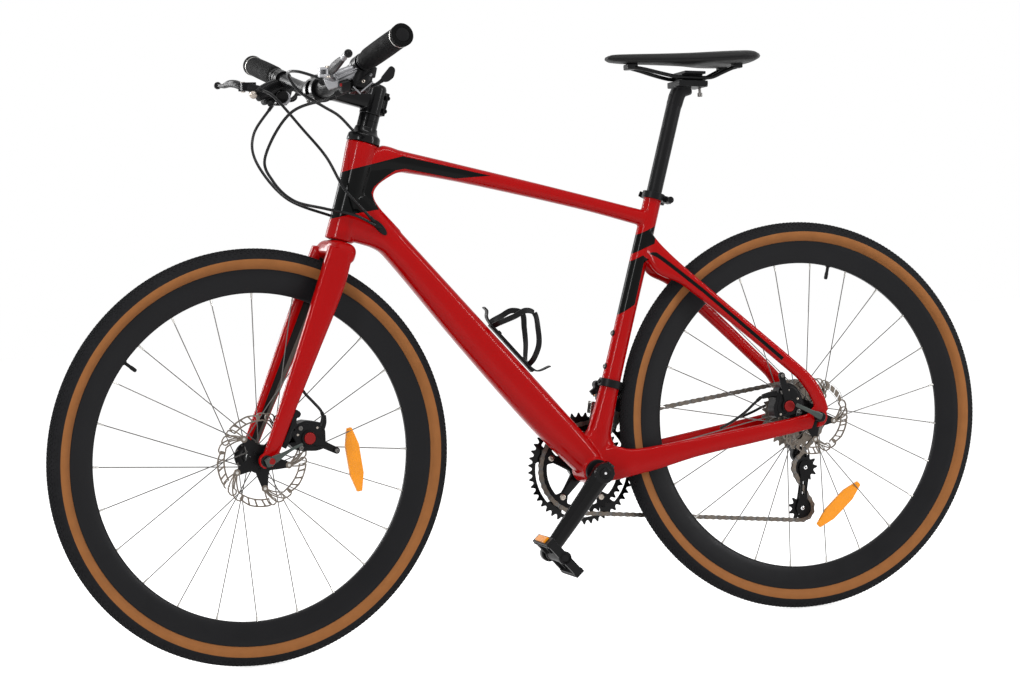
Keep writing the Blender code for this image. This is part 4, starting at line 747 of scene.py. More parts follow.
def paint_frame(mesh):
    """Plain black panels on the head, the seat tube and the outer sides of the seatstays."""
    head_panel = [
        (-0.34, 0.82), (-0.3309, 0.8222), (-0.3132, 0.8268), (-0.222, 0.8459), (-0.0652, 0.8066),
        (-0.1289, 0.8044), (-0.2192, 0.8243), (-0.2351, 0.8222), (-0.2498, 0.8143), (-0.2742, 0.7962),
        (-0.2793, 0.7862), (-0.2768, 0.7745), (-0.2683, 0.757), (-0.3077, 0.752), (-0.3254, 0.7495),
        (-0.3586, 0.7438), (-0.38, 0.744), (-0.36, 0.818),
    ]
    upper_band = [(0.19, 0.6875), (0.2374, 0.7074), (0.2283, 0.6753), (0.18, 0.654)]
    lower_band = [
        (0.17, 0.638), (0.2083, 0.6559), (0.218, 0.6479), (0.2097, 0.6416), (0.1889, 0.5702), (0.144, 0.544),
    ]
    painted(mesh, [head_panel, upper_band, lower_band], 1)
    stripe = [
        (0.2181, 0.6584), (0.2233, 0.6606), (0.2298, 0.6599), (0.3084, 0.5915), (0.447, 0.461),
        (0.4425, 0.456), (0.3079, 0.5833), (0.231, 0.65),
    ]
    painted(mesh, [stripe], 1, lambda face: face.normal.y * face.calc_center_median().y > 0)


# Wheels

def build_tyre(prefix, centre, body):
    """A carcass with a tan side wall, and rows of small blocks on it."""
    half = refine([
        (0.0, 0.3496), (0.0055, 0.3491), (0.011, 0.3471), (0.0158, 0.343), (0.0187, 0.3378),
        (0.0198, 0.332), (0.019, 0.326), (0.0165, 0.3212), (0.0128, 0.3178),
    ], 0.0016, 2)
    inside_wall = [(along * 0.9, radius - 0.0016) for along, radius in reversed(half)]
    outline = half + inside_wall
    outline += [(-a, r) for a, r in reversed(inside_wall[:-1])] + [(-a, r) for a, r in reversed(half[1:])]
    piece = object_of(prefix + "_tyre_casing", mesh_of([hollow(outline, centre, Y, 240)]))
    for face in piece.data.polygons:
        middle = face.center
        radius = hypot(middle.x - centre.x, middle.z - centre.z)
        face.material_index = 1 if radius < SIDE_WALL_TOP and abs(middle.y) > 0.01 else 0
    place(piece, [RUBBER, TAN], body, (prefix + "_tyre",))

    knobs = []
    rows = (
        (0.0, 0.351, 0.0017, 0.0022, 300, 0.0), (0.0044, 0.3507, 0.0015, 0.0021, 300, 0.5),
        (0.0085, 0.3498, 0.0014, 0.002, 300, 0.0), (0.0124, 0.3478, 0.0014, 0.002, 300, 0.5),
        (0.016, 0.3446, 0.0016, 0.0026, 200, 0.0), (0.0186, 0.34, 0.002, 0.0026, 200, 0.5),
    )
    for along, top, half_across, half_along, count, shift in rows:
        slope = 0.0
        for (a1, r1), (a2, r2) in zip(half, half[1:]):
            if a1 <= along <= a2:
                slope = atan2(r1 - r2, a2 - a1)
        for side in (-1, 1) if along else (1,):
            for i in range(count):
                angle = 2 * pi * (i + shift) / count
                outward = ray(angle)
                ahead = Vector((-sin(angle), 0, cos(angle)))
                wide = Y * side * cos(slope) - outward * sin(slope)
                low, inner = top - KNOB_DEPTH * cos(slope), along - KNOB_DEPTH * sin(slope)
                foot = centre + outward * low + Y * side * inner
                head = centre + outward * top + Y * side * along
                rings = []
                for point, grow in ((foot, 1.2), (head, 0.85)):
                    rings.append([
                        point + wide * half_across * grow * a + ahead * half_along * grow * b
                        for a, b in ((-1, 0), (0, -1), (1, 0), (0, 1))
                    ])
                knobs.append(skin(rings))
    piece_of(prefix + "_tyre_tread", knobs, [RUBBER], body)


def build_rim(prefix, centre, body):
    half = refine([
        (0.0, 0.2762), (0.004, 0.2768), (0.0072, 0.283), (0.0102, 0.2945), (0.0125, 0.307), (0.0128, 0.314),
    ], 0.0015, 2) + [(0.0128, 0.3162), (0.0112, 0.3166), (0.0108, 0.312), (0.004, 0.3095)]
    outline = half + [(-a, r) for a, r in reversed(half[1:])]
    shapes = [hollow(outline, centre, Y, 240)]
    piece_of(prefix + "_rim_body", shapes, [RIM_FINISH], body, (prefix + "_rim",))


def build_wheel_core(prefix, centre, phase, hub, body):
    """Hub shell between two dropouts, and crossed spokes with their bends and nipples."""
    dropout, left, right, (seat, step, flange_foot), waist, drive_end = hub
    end = dropout - 0.0003
    shapes = [hollow([
        (-end, 0.0053), (-end, 0.0085), (seat, 0.009), (seat, 0.01), (step, 0.01), (step, 0.0205),
        (flange_foot, 0.0205), (left - 0.0024, 0.024), (left + 0.0016, 0.024), (left + 0.0022, 0.018),
        (left + 0.006, waist + 0.001), (0.0, waist), (right - 0.006, waist + 0.001), (right - 0.0022, 0.018),
        (right - 0.0016, 0.024), (right + 0.0016, 0.024), *drive_end, (end, 0.0085), (end, 0.0053),
    ], centre, Y, 48)]
    for i in range(SPOKES):
        flange = (left, right)[i % 2]
        rim_angle = phase + 2 * pi * i / SPOKES
        lead = 1 if (i // 2) % 2 else -1
        hub_angle = rim_angle + lead * radians(60)
        start = polar(centre, 0.0212, hub_angle, flange + lead * 0.0018)
        end = polar(centre, 0.275, rim_angle, flange * 0.03)
        line = (end - start).normalized()
        shapes.append(rod(start, end, 0.00095, 8, slot=1))
        shapes.append(rod(start - line * 0.0008, start + line * 0.0022, 0.0015, 8, slot=1))
        head = start - Y * lead * 0.0034
        bend = [(-0.0008, 0.0019), (0.001, 0.0012), (0.003, 0.0011)]
        nipple = [(0, 0.0015), (0.009, 0.0019), (0.0125, 0.0022)]
        shapes.append(turned(bend, head, Y * lead, 10, slot=1))
        shapes.append(turned(nipple, end - line * 0.0095, line, 10, slot=2))
    finishes = [BLACK_METAL, DARK_STEEL, STEEL]
    piece_of(prefix + "_hub_and_spokes", shapes, finishes, body, (prefix + "_hub",))


def build_reflector(name, middle, upper_end, body):
    middle = Vector(middle)
    half = Vector(upper_end) - middle
    square = square_to(half.normalized()) * -0.0125
    corners = ((1.0, 0.35), (0.45, 1.0), (-0.45, 1.0), (-1.0, 0.35), (-1.0, -0.35), (-0.45, -1.0),
               (0.45, -1.0), (1.0, -0.35))
    outline = from_side(middle + half * a + square * b for a, b in corners)
    piece_of(name, [plate([outline], middle.y - 0.0034, middle.y + 0.0034)], [ORANGE], body, bevel=0.0012)


def build_rotor(name, centre, side_y, radius, body):
    """A steel rotor of five parts, each with three slanted loops and a windowed band, on a black carrier."""
    low, high = side_y - ROTOR_HALF, side_y + ROTOR_HALF
    outer, inner = radius - 0.0012, radius - 0.015
    rivet = radius * 0.6
    tip = 0.0052

    def loop(angle, turn, grow):
        """The outline of one loop, from its rivet out to a round end."""
        spine = smooth_route([
            polar(centre, rivet + 0.0035, angle + turn * 0.1),
            polar(centre, rivet + (outer - rivet) * 0.4, angle + turn * 0.42),
            polar(centre, rivet + (outer - rivet) * 0.75, angle + turn * 0.8),
            polar(centre, outer - 0.0068, angle + turn),
        ], 0.004)
        left, right, cap = [], [], []
        for i, point in enumerate(spine):
            along = (spine[min(i + 1, len(spine) - 1)] - spine[max(i - 1, 0)]).normalized()
            square = square_to(along) * (grow + (tip - 0.001) * (i / (len(spine) - 1)) + 0.0008)
            left.append(point + square)
            right.append(point - square)
        width = (left[-1] - right[-1]).length / 2
        for k in range(1, 6):
            turned_by = pi * k / 6
            cap.append(spine[-1] + (left[-1] - spine[-1]) * cos(turned_by) + along * width * sin(turned_by))
        return from_side(left + cap + right[::-1])

    shapes = [plate([circle(centre, 0.0225, 48), circle(centre, 0.0105, 32)], low, high, 1)]
    for i in range(5):
        angle = ROTOR_PHASE + 2 * pi * i / 5
        for turn, lift in ((radians(9), 0.00006), (radians(21), 0.00003), (radians(33), 0.00006)):
            shapes.append(plate([loop(angle, turn, 0.0022), loop(angle, turn, 0.0)], low - lift, high + lift))
        first, last = angle + radians(34), angle + radians(77)

        def edge(here):
            return outer - 0.004 * max(0.0, 1 - (here - first) / radians(16))

        band = [polar(centre, inner, first + (last - first) * k / 24) for k in range(25)]
        band += [polar(centre, edge(last + (first - last) * k / 24), last + (first - last) * k / 24)
                 for k in range(25)]
        holes = []
        for k in range(4):
            start = first + radians(1.5 + 10.6 * k)
            ring = [polar(centre, inner + 0.0024, start + radians(8.2) * j / 4) for j in range(5)]
            for j in range(5):
                here = start + radians(8.2) * (1 - j / 4) + radians(4)
                ring.append(polar(centre, edge(here) - 0.0025, here))
            holes.append(rounded_outline(from_side(ring), 0.0026, 3))
        shapes.append(plate([from_side(band), *holes], low, high))
        arm = ((0.015, -0.08, 0.014), (0.026, -0.05, 0.0104), (rivet - 0.005, 0, 0.0062),
               (rivet + 0.001, 0, 0.005))
        shapes.append(sweep([polar(centre, reach, angle + turn, side_y) for reach, turn, _ in arm],
                            [(wide, ROTOR_HALF) for _, _, wide in arm], 12, 3.4, slot=1))
        spot = polar(centre, rivet, angle)
        washer = [(low - 0.0003, 0.0028), (low - 0.0003, 0.0058), (high + 0.0003, 0.0058),
                  (high + 0.0003, 0.0028)]
        head = [(low - 0.0009, 0.0014), (low - 0.0006, 0.0026), (low + 0.0004, 0.0028),
                (high + 0.0005, 0.0028)]
        shapes.append(hollow(washer, spot, Y, 24))
        shapes.append(turned(head, spot, Y, 20, slot=2))
    for i in range(6):
        shapes.append(screw(polar(centre, 0.0165, radians(12 + 60 * i), low), -Y, 0.003, slot=1, tall=0.0016))
    piece_of(name + "_disc", shapes, [WORN_STEEL, BLACK_METAL, STEEL], body, (name,))


def build_wheels():
    for prefix, centre, phase, hub, reflector, reflector_end, rotor_y, rotor_radius in (
        ("front", FRONT_AXLE, FRONT_SPOKE_PHASE,
         (FRONT_DROPOUT, -0.026, 0.034, (-0.0412, -0.0383, -0.032), 0.0125,
          [(0.0362, 0.016), (0.039, 0.011)]),
         (-0.3305, -0.0085, 0.3336), (-0.3378, -0.0085, 0.3888), FRONT_ROTOR_Y, 0.08),
        ("rear", REAR_AXLE, REAR_SPOKE_PHASE,
         (REAR_DROPOUT, -0.034, 0.02, (-0.054, -0.0508, -0.042), 0.013,
          [(0.0236, 0.0166), (0.064, 0.0166), (0.0642, 0.0085)]),
         (0.5683, -0.011, 0.1832), (0.611, -0.011, 0.219), REAR_ROTOR_Y, 0.07),
    ):
        body = prefix + "_wheel"
        build_tyre(prefix, centre, body)
        build_rim(prefix, centre, body)
        build_wheel_core(prefix, centre, phase, hub, body)
        build_reflector(prefix + "_spoke_reflector", reflector, reflector_end, body)
        build_rotor(prefix + "_rotor", centre, rotor_y, rotor_radius, body)


# Fork

def build_fork():
    stations = [
        (-0.3705, 0.7015, -0.33, 0.685, 0.039, 0.012),
        (-0.3925, 0.6482, -0.3487, 0.6318, 0.043, 0.0115),
        (-0.435, 0.5427, -0.3995, 0.53, 0.049, 0.0105),
        (-0.4774, 0.437, -0.451, 0.4273, 0.0535, 0.0085),
        (-0.5055, 0.3705, -0.4817, 0.361, 0.0555, 0.0054),
        (-0.5095, 0.359, -0.4885, 0.35, 0.0555, 0.0052),
    ]
    leg = edge_loft(stations, 32, 3.4, 0.005)
    rows = refine([
        (-0.05, -0.025, 0.01, 0.015), (-0.042, -0.0215, 0.0165, 0.0205), (-0.024, -0.0175, 0.0165, 0.0238),
        (0.0, -0.0166, 0.016, 0.0245),
        (0.024, -0.0175, 0.0165, 0.0238), (0.042, -0.0215, 0.0165, 0.0205), (0.05, -0.025, 0.01, 0.015),
    ], 0.003, 1)
    crown = skin([
        oval(on_axis(along, 0, side), AXIS * half_along, FORWARD * half_forward, 36, 2.8)
        for side, along, half_along, half_forward in rows
    ])
    end = disc(Vector((-0.5035, 0, WHEEL_RADIUS)), 0.0135, FRONT_DROPOUT, FRONT_DROPOUT + FORK_PLATE)
    steerer = turned([(-0.012, 0.0143), (0.268, 0.0143)], HEAD_BOTTOM, AXIS)
    cuts = []
    for side in (-1, 1):
        middle = Y * side * (FRONT_DROPOUT + FORK_PLATE / 2)
        top, end_of_slot = (FRONT_AXLE + middle + Vector(step) for step in ((0, 0, 0.004), (0.01, 0, -0.03)))
        cuts.append(bar_between(top, end_of_slot, 0.018, 0.0102))
    piece = welded("fork_body", [crown, leg, mirrored(leg), end, mirrored(end)], 0.0015, 8, cuts)

    def inward(face):
        middle = face.calc_center_median()
        return face.normal.y * middle.y < 0 and abs(face.normal.y) > 0.35 and abs(middle.y) > 0.022

    def strip(first, last):
        """An outline down the leg between two shares of its depth, counted from its front edge."""
        edges = [[(a + (c - a) * share, b + (d - b) * share) for a, b, c, d, _, _ in stations[:5]]
                 for share in (first, last)]
        return edges[0] + edges[1][::-1]

    painted(piece.data, [strip(0.34, 0.66)], 1, inward)
    painted(piece.data, [strip(0.66, 0.88)], 2, inward)
    place(piece, [RED, DARK_INNER, GREY_INNER], "steering", ("fork",), angle=50)
    piece_of("steerer_tube", [steerer], [BLACK_METAL], "steering", bevel=0.0005)


# Cockpit

def bar_point(side):
    reach = abs(side)
    rise = BAR_RISE * max(0.0, reach - BAR_FLAT)
    soften = 0.002 * max(0.0, 1 - abs(reach - BAR_FLAT) / 0.03)
    return BAR_CENTRE + Vector((0.007 * (reach / BAR_END) ** 2, side, rise + soften))


def bar_direction(side):
    return (bar_point(side + 0.002) - bar_point(side - 0.002)).normalized()


def build_headset():
    profile = [
        (0.1723, 0.0147), (0.1723, 0.0281), (0.173, 0.0287), (0.1775, 0.0286), (0.1835, 0.028),
        (0.1862, 0.0262), (0.1885, 0.023), (0.1925, 0.0206), (0.198, 0.0194), (0.1988, 0.0188),
        (0.199, 0.0176), (0.2097, 0.0176), (0.21, 0.0171), (0.2104, 0.0171), (0.2107, 0.0176),
        (0.2212, 0.0176), (0.2215, 0.0173), (0.2215, 0.0147),
    ]
    piece_of("headset_cone", [hollow(profile, HEAD_BOTTOM, AXIS, 64)], [GLOSS_METAL], "steering",
             ("headset_cover",))


def build_stem():
    low, high = 0.2222, 0.269
    middle = on_axis((low + high) / 2)
    forward = (BAR_CENTRE - middle).normalized()
    up = forward.cross(Y).normalized()
    up = up if up.z > 0 else -up
    bar_bore = turned([(-0.05, BAR_BORE), (0.05, BAR_BORE)], BAR_CENTRE, Y)

    def slab(near, far, width, depth):
        """A cutting block between two distances ahead of the bar."""
        return bar_between(BAR_CENTRE + forward * near, BAR_CENTRE + forward * far, width, depth)

    neck = skin([
        oval(middle.lerp(BAR_CENTRE, share), up * tall, Y * wide, 36, 2.8) for share, tall, wide in
        ((0.0, 0.0165, 0.015), (0.25, 0.0152, 0.014), (0.45, 0.0142, 0.0135), (0.65, 0.0134, 0.0142),
         (0.84, 0.013, 0.016))
    ])
    clamp = turned([(low, 0.0185), (high, 0.0185), (high + 0.0045, 0.0165), (high + 0.0065, 0.013)],
                   HEAD_BOTTOM, AXIS)
    axis_turn = Matrix((FORWARD, Y, AXIS)).transposed()
    ears = block(on_axis((low + high) / 2, -0.018), (0.012, 0.017, 0.04), axis_turn)
    ring = turned([(-0.0215, 0.0222), (0.0215, 0.0222)], BAR_CENTRE, Y, 64)
    body = welded("stem_body", [clamp, neck, ears, ring], 0.0009, 5, [
        turned([(low - 0.01, STEERER_BORE), (0.2687, STEERER_BORE)], HEAD_BOTTOM, AXIS), bar_bore,
    ])
    carved(body, [
        slab(-0.0004, 0.04, 0.08, 0.08),
        bar_between(on_axis(0.2455, -0.013), on_axis(0.2455, -0.035), 0.002, 0.06),
    ])
    place(body, [GLOSS_METAL], "steering", ("stem",), angle=45)
    bolts = []
    for along in (0.234, 0.257):
        bolts.append(rod(on_axis(along, -0.0215, -0.009), on_axis(along, -0.0215, 0.008), 0.0026, 16))
        bolts.append(screw(on_axis(along, -0.0215, -0.0085), -Y, 0.0043))
    bolts.append(screw(on_axis(high + 0.0062), AXIS, 0.0058, tall=0.0022))
    piece_of("stem_bolts", bolts, [BLACK_METAL], "steering")

    face = welded("stem_faceplate_body", [
        turned([(-0.0212, 0.022), (0.0212, 0.022)], BAR_CENTRE, Y, 64),
        *[bar_between(BAR_CENTRE + up * s, BAR_CENTRE + up * s + forward * 0.0098, 0.04, 0.0085)
          for s in (-0.0203, 0.0203)],
    ], 0.0008, 4)
    for cut in (bar_bore, slab(0.001, -0.04, 0.08, 0.08), slab(0.01, 0.04, 0.017, 0.024)):
        carved(face, [cut])
    place(face, [GLOSS_METAL], "steering", ("stem_faceplate",), angle=45)
    heads = [
        screw(BAR_CENTRE + up * a * 0.0203 + Y * b * 0.015 + forward * 0.0095, forward, 0.004)
        for a in (-1, 1) for b in (-1, 1)
    ]
    piece_of("stem_faceplate_bolts", heads, [DARK_STEEL], "steering")


def build_handlebar():
    half = [
        (0.0, 0.0159), (0.026, 0.0159), (0.036, 0.015), (0.048, 0.0138), (0.062, 0.0126), (0.085, 0.0115),
        (0.115, 0.0111), (0.2, 0.0111), (BAR_END, 0.0111),
    ]
    rows = refine(half, 0.006, 1)
    rings = []
    for side, radius in [(-side, radius) for side, radius in reversed(rows[1:])] + rows:
        along = bar_direction(side)
        level = (X - along * X.dot(along)).normalized()
        rings.append(oval(bar_point(side), level * radius, along.cross(level) * radius, 40))
    piece_of("riser_bar", [skin(rings)], [BLACK_METAL], "steering", ("handlebar",))

    for name, side in SIDES:
        start = bar_point(side * GRIP_START)
        end = bar_point(side * (BAR_END + 0.0032))
        along = (end - start).normalized()
        long = (end - start).length
        outline = [(0.0, 0.0118), (0.0, 0.0136), (0.006, 0.0136), (0.01, 0.0142), (0.015, 0.0162),
                   (0.02, 0.017)]
        for i in range(1, 25):
            share = i / 25
            outline.append((0.02 + (long - 0.0345) * share, 0.0171 + 0.0005 * sin(pi * share)))
        outline += [(long - 0.0143, 0.017), (long - 0.0143, 0.0164), (long - 0.01, 0.0164),
                    (long - 0.01, 0.018), (long - 0.001, 0.0184), (long, 0.0176), (long, 0.0118)]
        piece_of(name + "_grip_sleeve", [hollow(outline, start, along, 56)], [GRIP_RUBBER], "steering",
                 (name + "_grip",))
        band = hollow(banded(long - 0.014, long - 0.0102, 0.0164, 0.0176, 0.0006, 0.0004), start, along, 56)
        plug = turned([(long - 0.009, 0.0116), (long - 0.0006, 0.0116), (long + 0.0004, 0.0108),
                       (long + 0.0008, 0.007)], start, along, 48, slot=1)
        rings = [
            hollow(banded(low, low + 0.0032, 0.012, 0.015, 0.0005, 0.0004), start, along, 48, slot=1)
            for low in (0.0005, 0.0048)
        ]
        pinch = screw(start + along * 0.0036 + (Z * -0.0146), -Z, 0.0024, slot=1)
        piece_of(name + "_grip_band", [band, plug, *rings, pinch], [STEEL, BLACK_METAL], "steering")


def build_controls():
    for name, side, tip_lift in (("left", -1, 0.0208), ("right", 1, 0.0098)):
        spot = bar_point(side * LEVER_SEAT)
        along = bar_direction(side * LEVER_SEAT)
        pivot = Vector((-0.4244, side * 0.208, 0.9803))
        # The left bracket is made grey as a painted highlight on the copy that faces the lamps; the right one
        # keeps the black finish.
        finish = GREY_CAST_AND_PAINTED_HIGHLIGHT if side < 0 else BLACK_METAL

        def off(x, y, z):
            """A point beside the clamp, with y counted outward."""
            return spot + Vector((x, side * y, z))

        def by_pivot(x, y, z):
            return pivot + Vector((x, side * y, z))

        arm = sweep([
            off(0.002, -0.004, -0.008), off(-0.02, -0.008, -0.015), off(-0.038, -0.014, -0.023),
            off(-0.053, -0.019, -0.03),
        ], [(0.01, 0.011), (0.0125, 0.011), (0.013, 0.01), (0.0105, 0.008)], 28, 3.2, dome=0.0015)
        ribs = [
            sweep([off(-0.01, 0.009 + lift, -0.01 + lift), off(-0.026, 0.003 + lift, -0.017 + lift),
                   off(-0.048, -0.007 + lift, -0.026 + lift)], (0.0012, 0.0014), 10, 2.4)
            for lift in (0.0, 0.004)
        ]
        jaws = [
            bar_between(by_pivot(0.013, -0.019, z), by_pivot(-0.007, -0.001, z),
                        0.013, 0.004) for z in (-0.0055, 0.0055)
        ]
        jaws.append(block(by_pivot(0.004, -0.0165, 0), (0.026, 0.012, 0.015)))
        jaws.append(sweep([by_pivot(0.006, -0.017, -0.002), off(-0.044, -0.012, -0.02)],
                          (0.0075, 0.008), 20, 3.0))
        body = welded(name + "_lever_bracket", [arm, *ribs, *jaws], 0.0008, 3, [
            turned([(-0.06, CONTROL_BORE), (0.06, CONTROL_BORE)], spot, along),
        ])
        place(body, [finish], "steering", (name + "_control",), angle=45)

        collars = []
        for low in (-0.0125, -0.008, -0.0035, 0.003, 0.0075):
            collars.append(hollow(banded(low, low + 0.0036, 0.0113, 0.0156, 0.0006, 0.0006), spot, along, 56))
        collars.append(screw(off(0.015, 0.002, -0.004), Vector((1, 0, -0.2)), 0.0034, slot=1))
        collars.append(screw(off(0.014, 0.008, -0.0085), Vector((0.8, 0, -0.5)), 0.003, slot=1))
        piece_of(name + "_lever_clamp", collars, [GLOSS_METAL, BOLT_STEEL], "steering")

        shift = Vector((-0.012, 0, -0.0045)) if side > 0 else Vector()
        barrel_start = Vector((-0.4115, side * 0.16, 0.969)) + shift
        barrel_line = Vector((-0.007, -side * 0.032, -0.004)).normalized()
        ridges = [(-0.012, 0.0058), (0, 0.006)]
        groove = ((0.0008, 0.0064), (0.0012, 0.0056), (0.0016, 0.0056))
        for i in range(6):
            ridges += [(start + i * 0.0016, radius) for start, radius in groove]
        ridges += [(0.0108, 0.0046), (0.0115, 0.0034)]
        fittings = [
            turned(ridges, barrel_start, barrel_line, 24, slot=1 if side > 0 else 0),
            screw(pivot + Z * 0.0072, Z, 0.0046, slot=1, tall=0.0022),
            screw(pivot - Z * 0.0072, -Z, 0.004, slot=1, tall=0.002),
        ]
        piece_of(name + "_lever_fittings", fittings, [BLACK_METAL, BOLT_STEEL], "steering")

        pod = welded(name + "_gear_pod", [
            sweep([off(0.006, 0.001, -0.01), off(0.0, 0.001, -0.025), off(-0.006, 0.004, -0.04)],
                  [(0.0135, 0.015), (0.0155, 0.0165), (0.015, 0.015)], 36, 3.0, dome=0.0022),
            sweep([off(0.016, 0.004, -0.005), off(0.012, 0.004, -0.02)], (0.009, 0.011), 28, 2.8,
                  dome=0.0015),
            sweep([off(-0.022, 0.0, -0.033), off(-0.036, -0.002, -0.036)], (0.01, 0.012), 28, 3.0,
                  dome=0.002),
            rod(off(-0.023, -0.01, -0.04), off(-0.033, -0.029, -0.045), 0.0054, 24),
        ], 0.0009, 2)
        place(pod, [PLASTIC], "steering", angle=45)
        trims = [
            turned([(0, 0.0122), (0.0012, 0.0122), (0.002, 0.0112), (0.002, 0.004)],
                   off(-0.002, -0.015, -0.034), -Y * side, 40, slot=1),
            turned([(0.0002, 0.0118), (0.0024, 0.0118), (0.0034, 0.0106), (0.0034, 0.004)],
                   off(-0.006, -0.015, -0.032), -Y * side, 40),
            turned([(0, 0.015), (0.0016, 0.015), (0.0026, 0.0138), (0.0028, 0.004)],
                   off(-0.008, 0.003, -0.043), Vector((0, side * 0.15, -1)).normalized(), 40),
            bar_between(off(0.013, 0.018, -0.012), off(-0.018, 0.018, -0.033), 0.0016, 0.003),
            bar_between(off(0.012, 0.019, -0.029), off(-0.009, 0.0185, -0.045), 0.0016, 0.0022, slot=1),
            bar_between(off(-0.02, 0.013, -0.036), off(-0.01, 0.019, -0.048), 0.0016, 0.0022, slot=1),
            screw(off(-0.004, 0.0165, -0.028), Y * side, 0.0032, slot=2),
            screw(off(0.01, 0.015, -0.018), Y * side, 0.0024, slot=1),
            turned([(-0.001, 0.0026), (0.0012, 0.0026), (0.0016, 0.002)], off(-0.0385, 0.008, -0.033),
                   Y * side, 16, slot=3),
        ]
        piece_of(name + "_gear_trim", trims, [GLOSS_METAL, GREY_CAST_AND_PAINTED_HIGHLIGHT, BOLT_STEEL, RED_METAL], "steering",
                 bevel=0.0004)

        tip = by_pivot(-0.009, 0.1135, tip_lift)
        hump = 0.0045 if side > 0 else 0.0
        blade = sweep([
            by_pivot(0.006, 0.001, 0), by_pivot(0.003, 0.012, tip_lift * 0.1),
            by_pivot(-0.001, 0.035, tip_lift * 0.31 + hump),
            by_pivot(-0.004, 0.062, tip_lift * 0.55 + hump),
            by_pivot(-0.0065, 0.086, tip_lift * 0.76), tip - Y * side * 0.004,
        ], [(0.0046, 0.0056), (0.0056, 0.007), (0.007, 0.0066), (0.0064, 0.0054), (0.0044, 0.0044),
            (0.003, 0.0032)], 24, 2.6, side=X)
        angles = (0.2, 0.6, 1.0, 1.4, 1.8, 2.2, 2.6, 2.95)
        ball = turned([(-0.0068 * cos(a), 0.0068 * sin(a)) for a in angles], tip, Y * side, 28)
        # A grey sleeve over the left blade near its ball, a painted highlight; the right blade has none.
        neck = sweep([by_pivot(-0.007, 0.088, tip_lift * 0.77), tip - Y * side * 0.008],
                     [(0.0052, 0.0052), (0.0038, 0.0038)], 20, 2.4, side=X, slot=1)
        link = rod(pivot - Z * 0.006, pivot + Z * 0.006, 0.0036, 20, slot=1)
        shapes = [blade, ball, neck, link] if side < 0 else [blade, ball, link]
        piece_of(name + "_lever_blade", shapes, [BLACK_METAL, GREY_CAST_AND_PAINTED_HIGHLIGHT], name + "_brake_lever",
                 (name + "_brake_lever",))

        head = [off(x, 0, z) for x, z in (
            (0.047, -0.003), (0.0545, -0.0085), (0.051, -0.0225), (0.04, -0.03), (0.0305, -0.029),
            (0.029, -0.0225),
        )]
        outline = rounded_outline(from_side(head), 0.004)
        low, high = sorted((side * 0.1985, side * 0.202))
        arm = sweep([
            off(-0.002, 0.002, -0.033), off(0.012, 0.0, -0.037), off(0.024, 0.006, -0.032),
            off(0.034, 0.0122, -0.025),
        ], [(0.003, 0.0036), (0.0026, 0.0036), (0.0026, 0.003), (0.004, 0.0018)], 20, 2.8)
        paddle = [plate([outline], low, high), arm]
        small = sweep([off(0.008, -0.002, -0.04), off(0.015, -0.012, -0.039), off(0.019, -0.02, -0.035)],
                      [(0.0022, 0.004), (0.0018, 0.0044), (0.0016, 0.005)], 20, 2.8, dome=0.0008)
        piece_of(name + "_shift_paddle", [*paddle, small], [PLASTIC], name + "_shift_lever",
                 (name + "_shift_lever",), bevel=0.0006)


# Cables

def ferrule(end, inner):
    """A metal end cap on a cable jacket."""
    radius, long = 0.0032, 0.01
    profile = [(-0.0004, radius * 0.8), (0, radius), (long, radius), (long + 0.0006, radius * 0.85)]
    return turned(profile, end, (inner - end).normalized(), 20, slot=1)


def build_cable(name, points, steered, body=None, ends=(True, True)):
    """A jacket through points, of which the first few turn with the bar, with its end caps."""
    points = [STEER @ Vector(point) for point in points[:steered]] + points[steered:]
    route = smooth_route(points, 0.003)
    shapes = [tube(route, HOUSING_RADIUS)]
    if ends[0]:
        shapes.append(ferrule(route[0], route[3]))
    if ends[1]:
        shapes.append(ferrule(route[-1], route[-4]))
    made = piece_of(name + "_jacket", shapes, [JACKET, BLACK_METAL], body, (name,), False, angle=50)
    if not body:
        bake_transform(made)


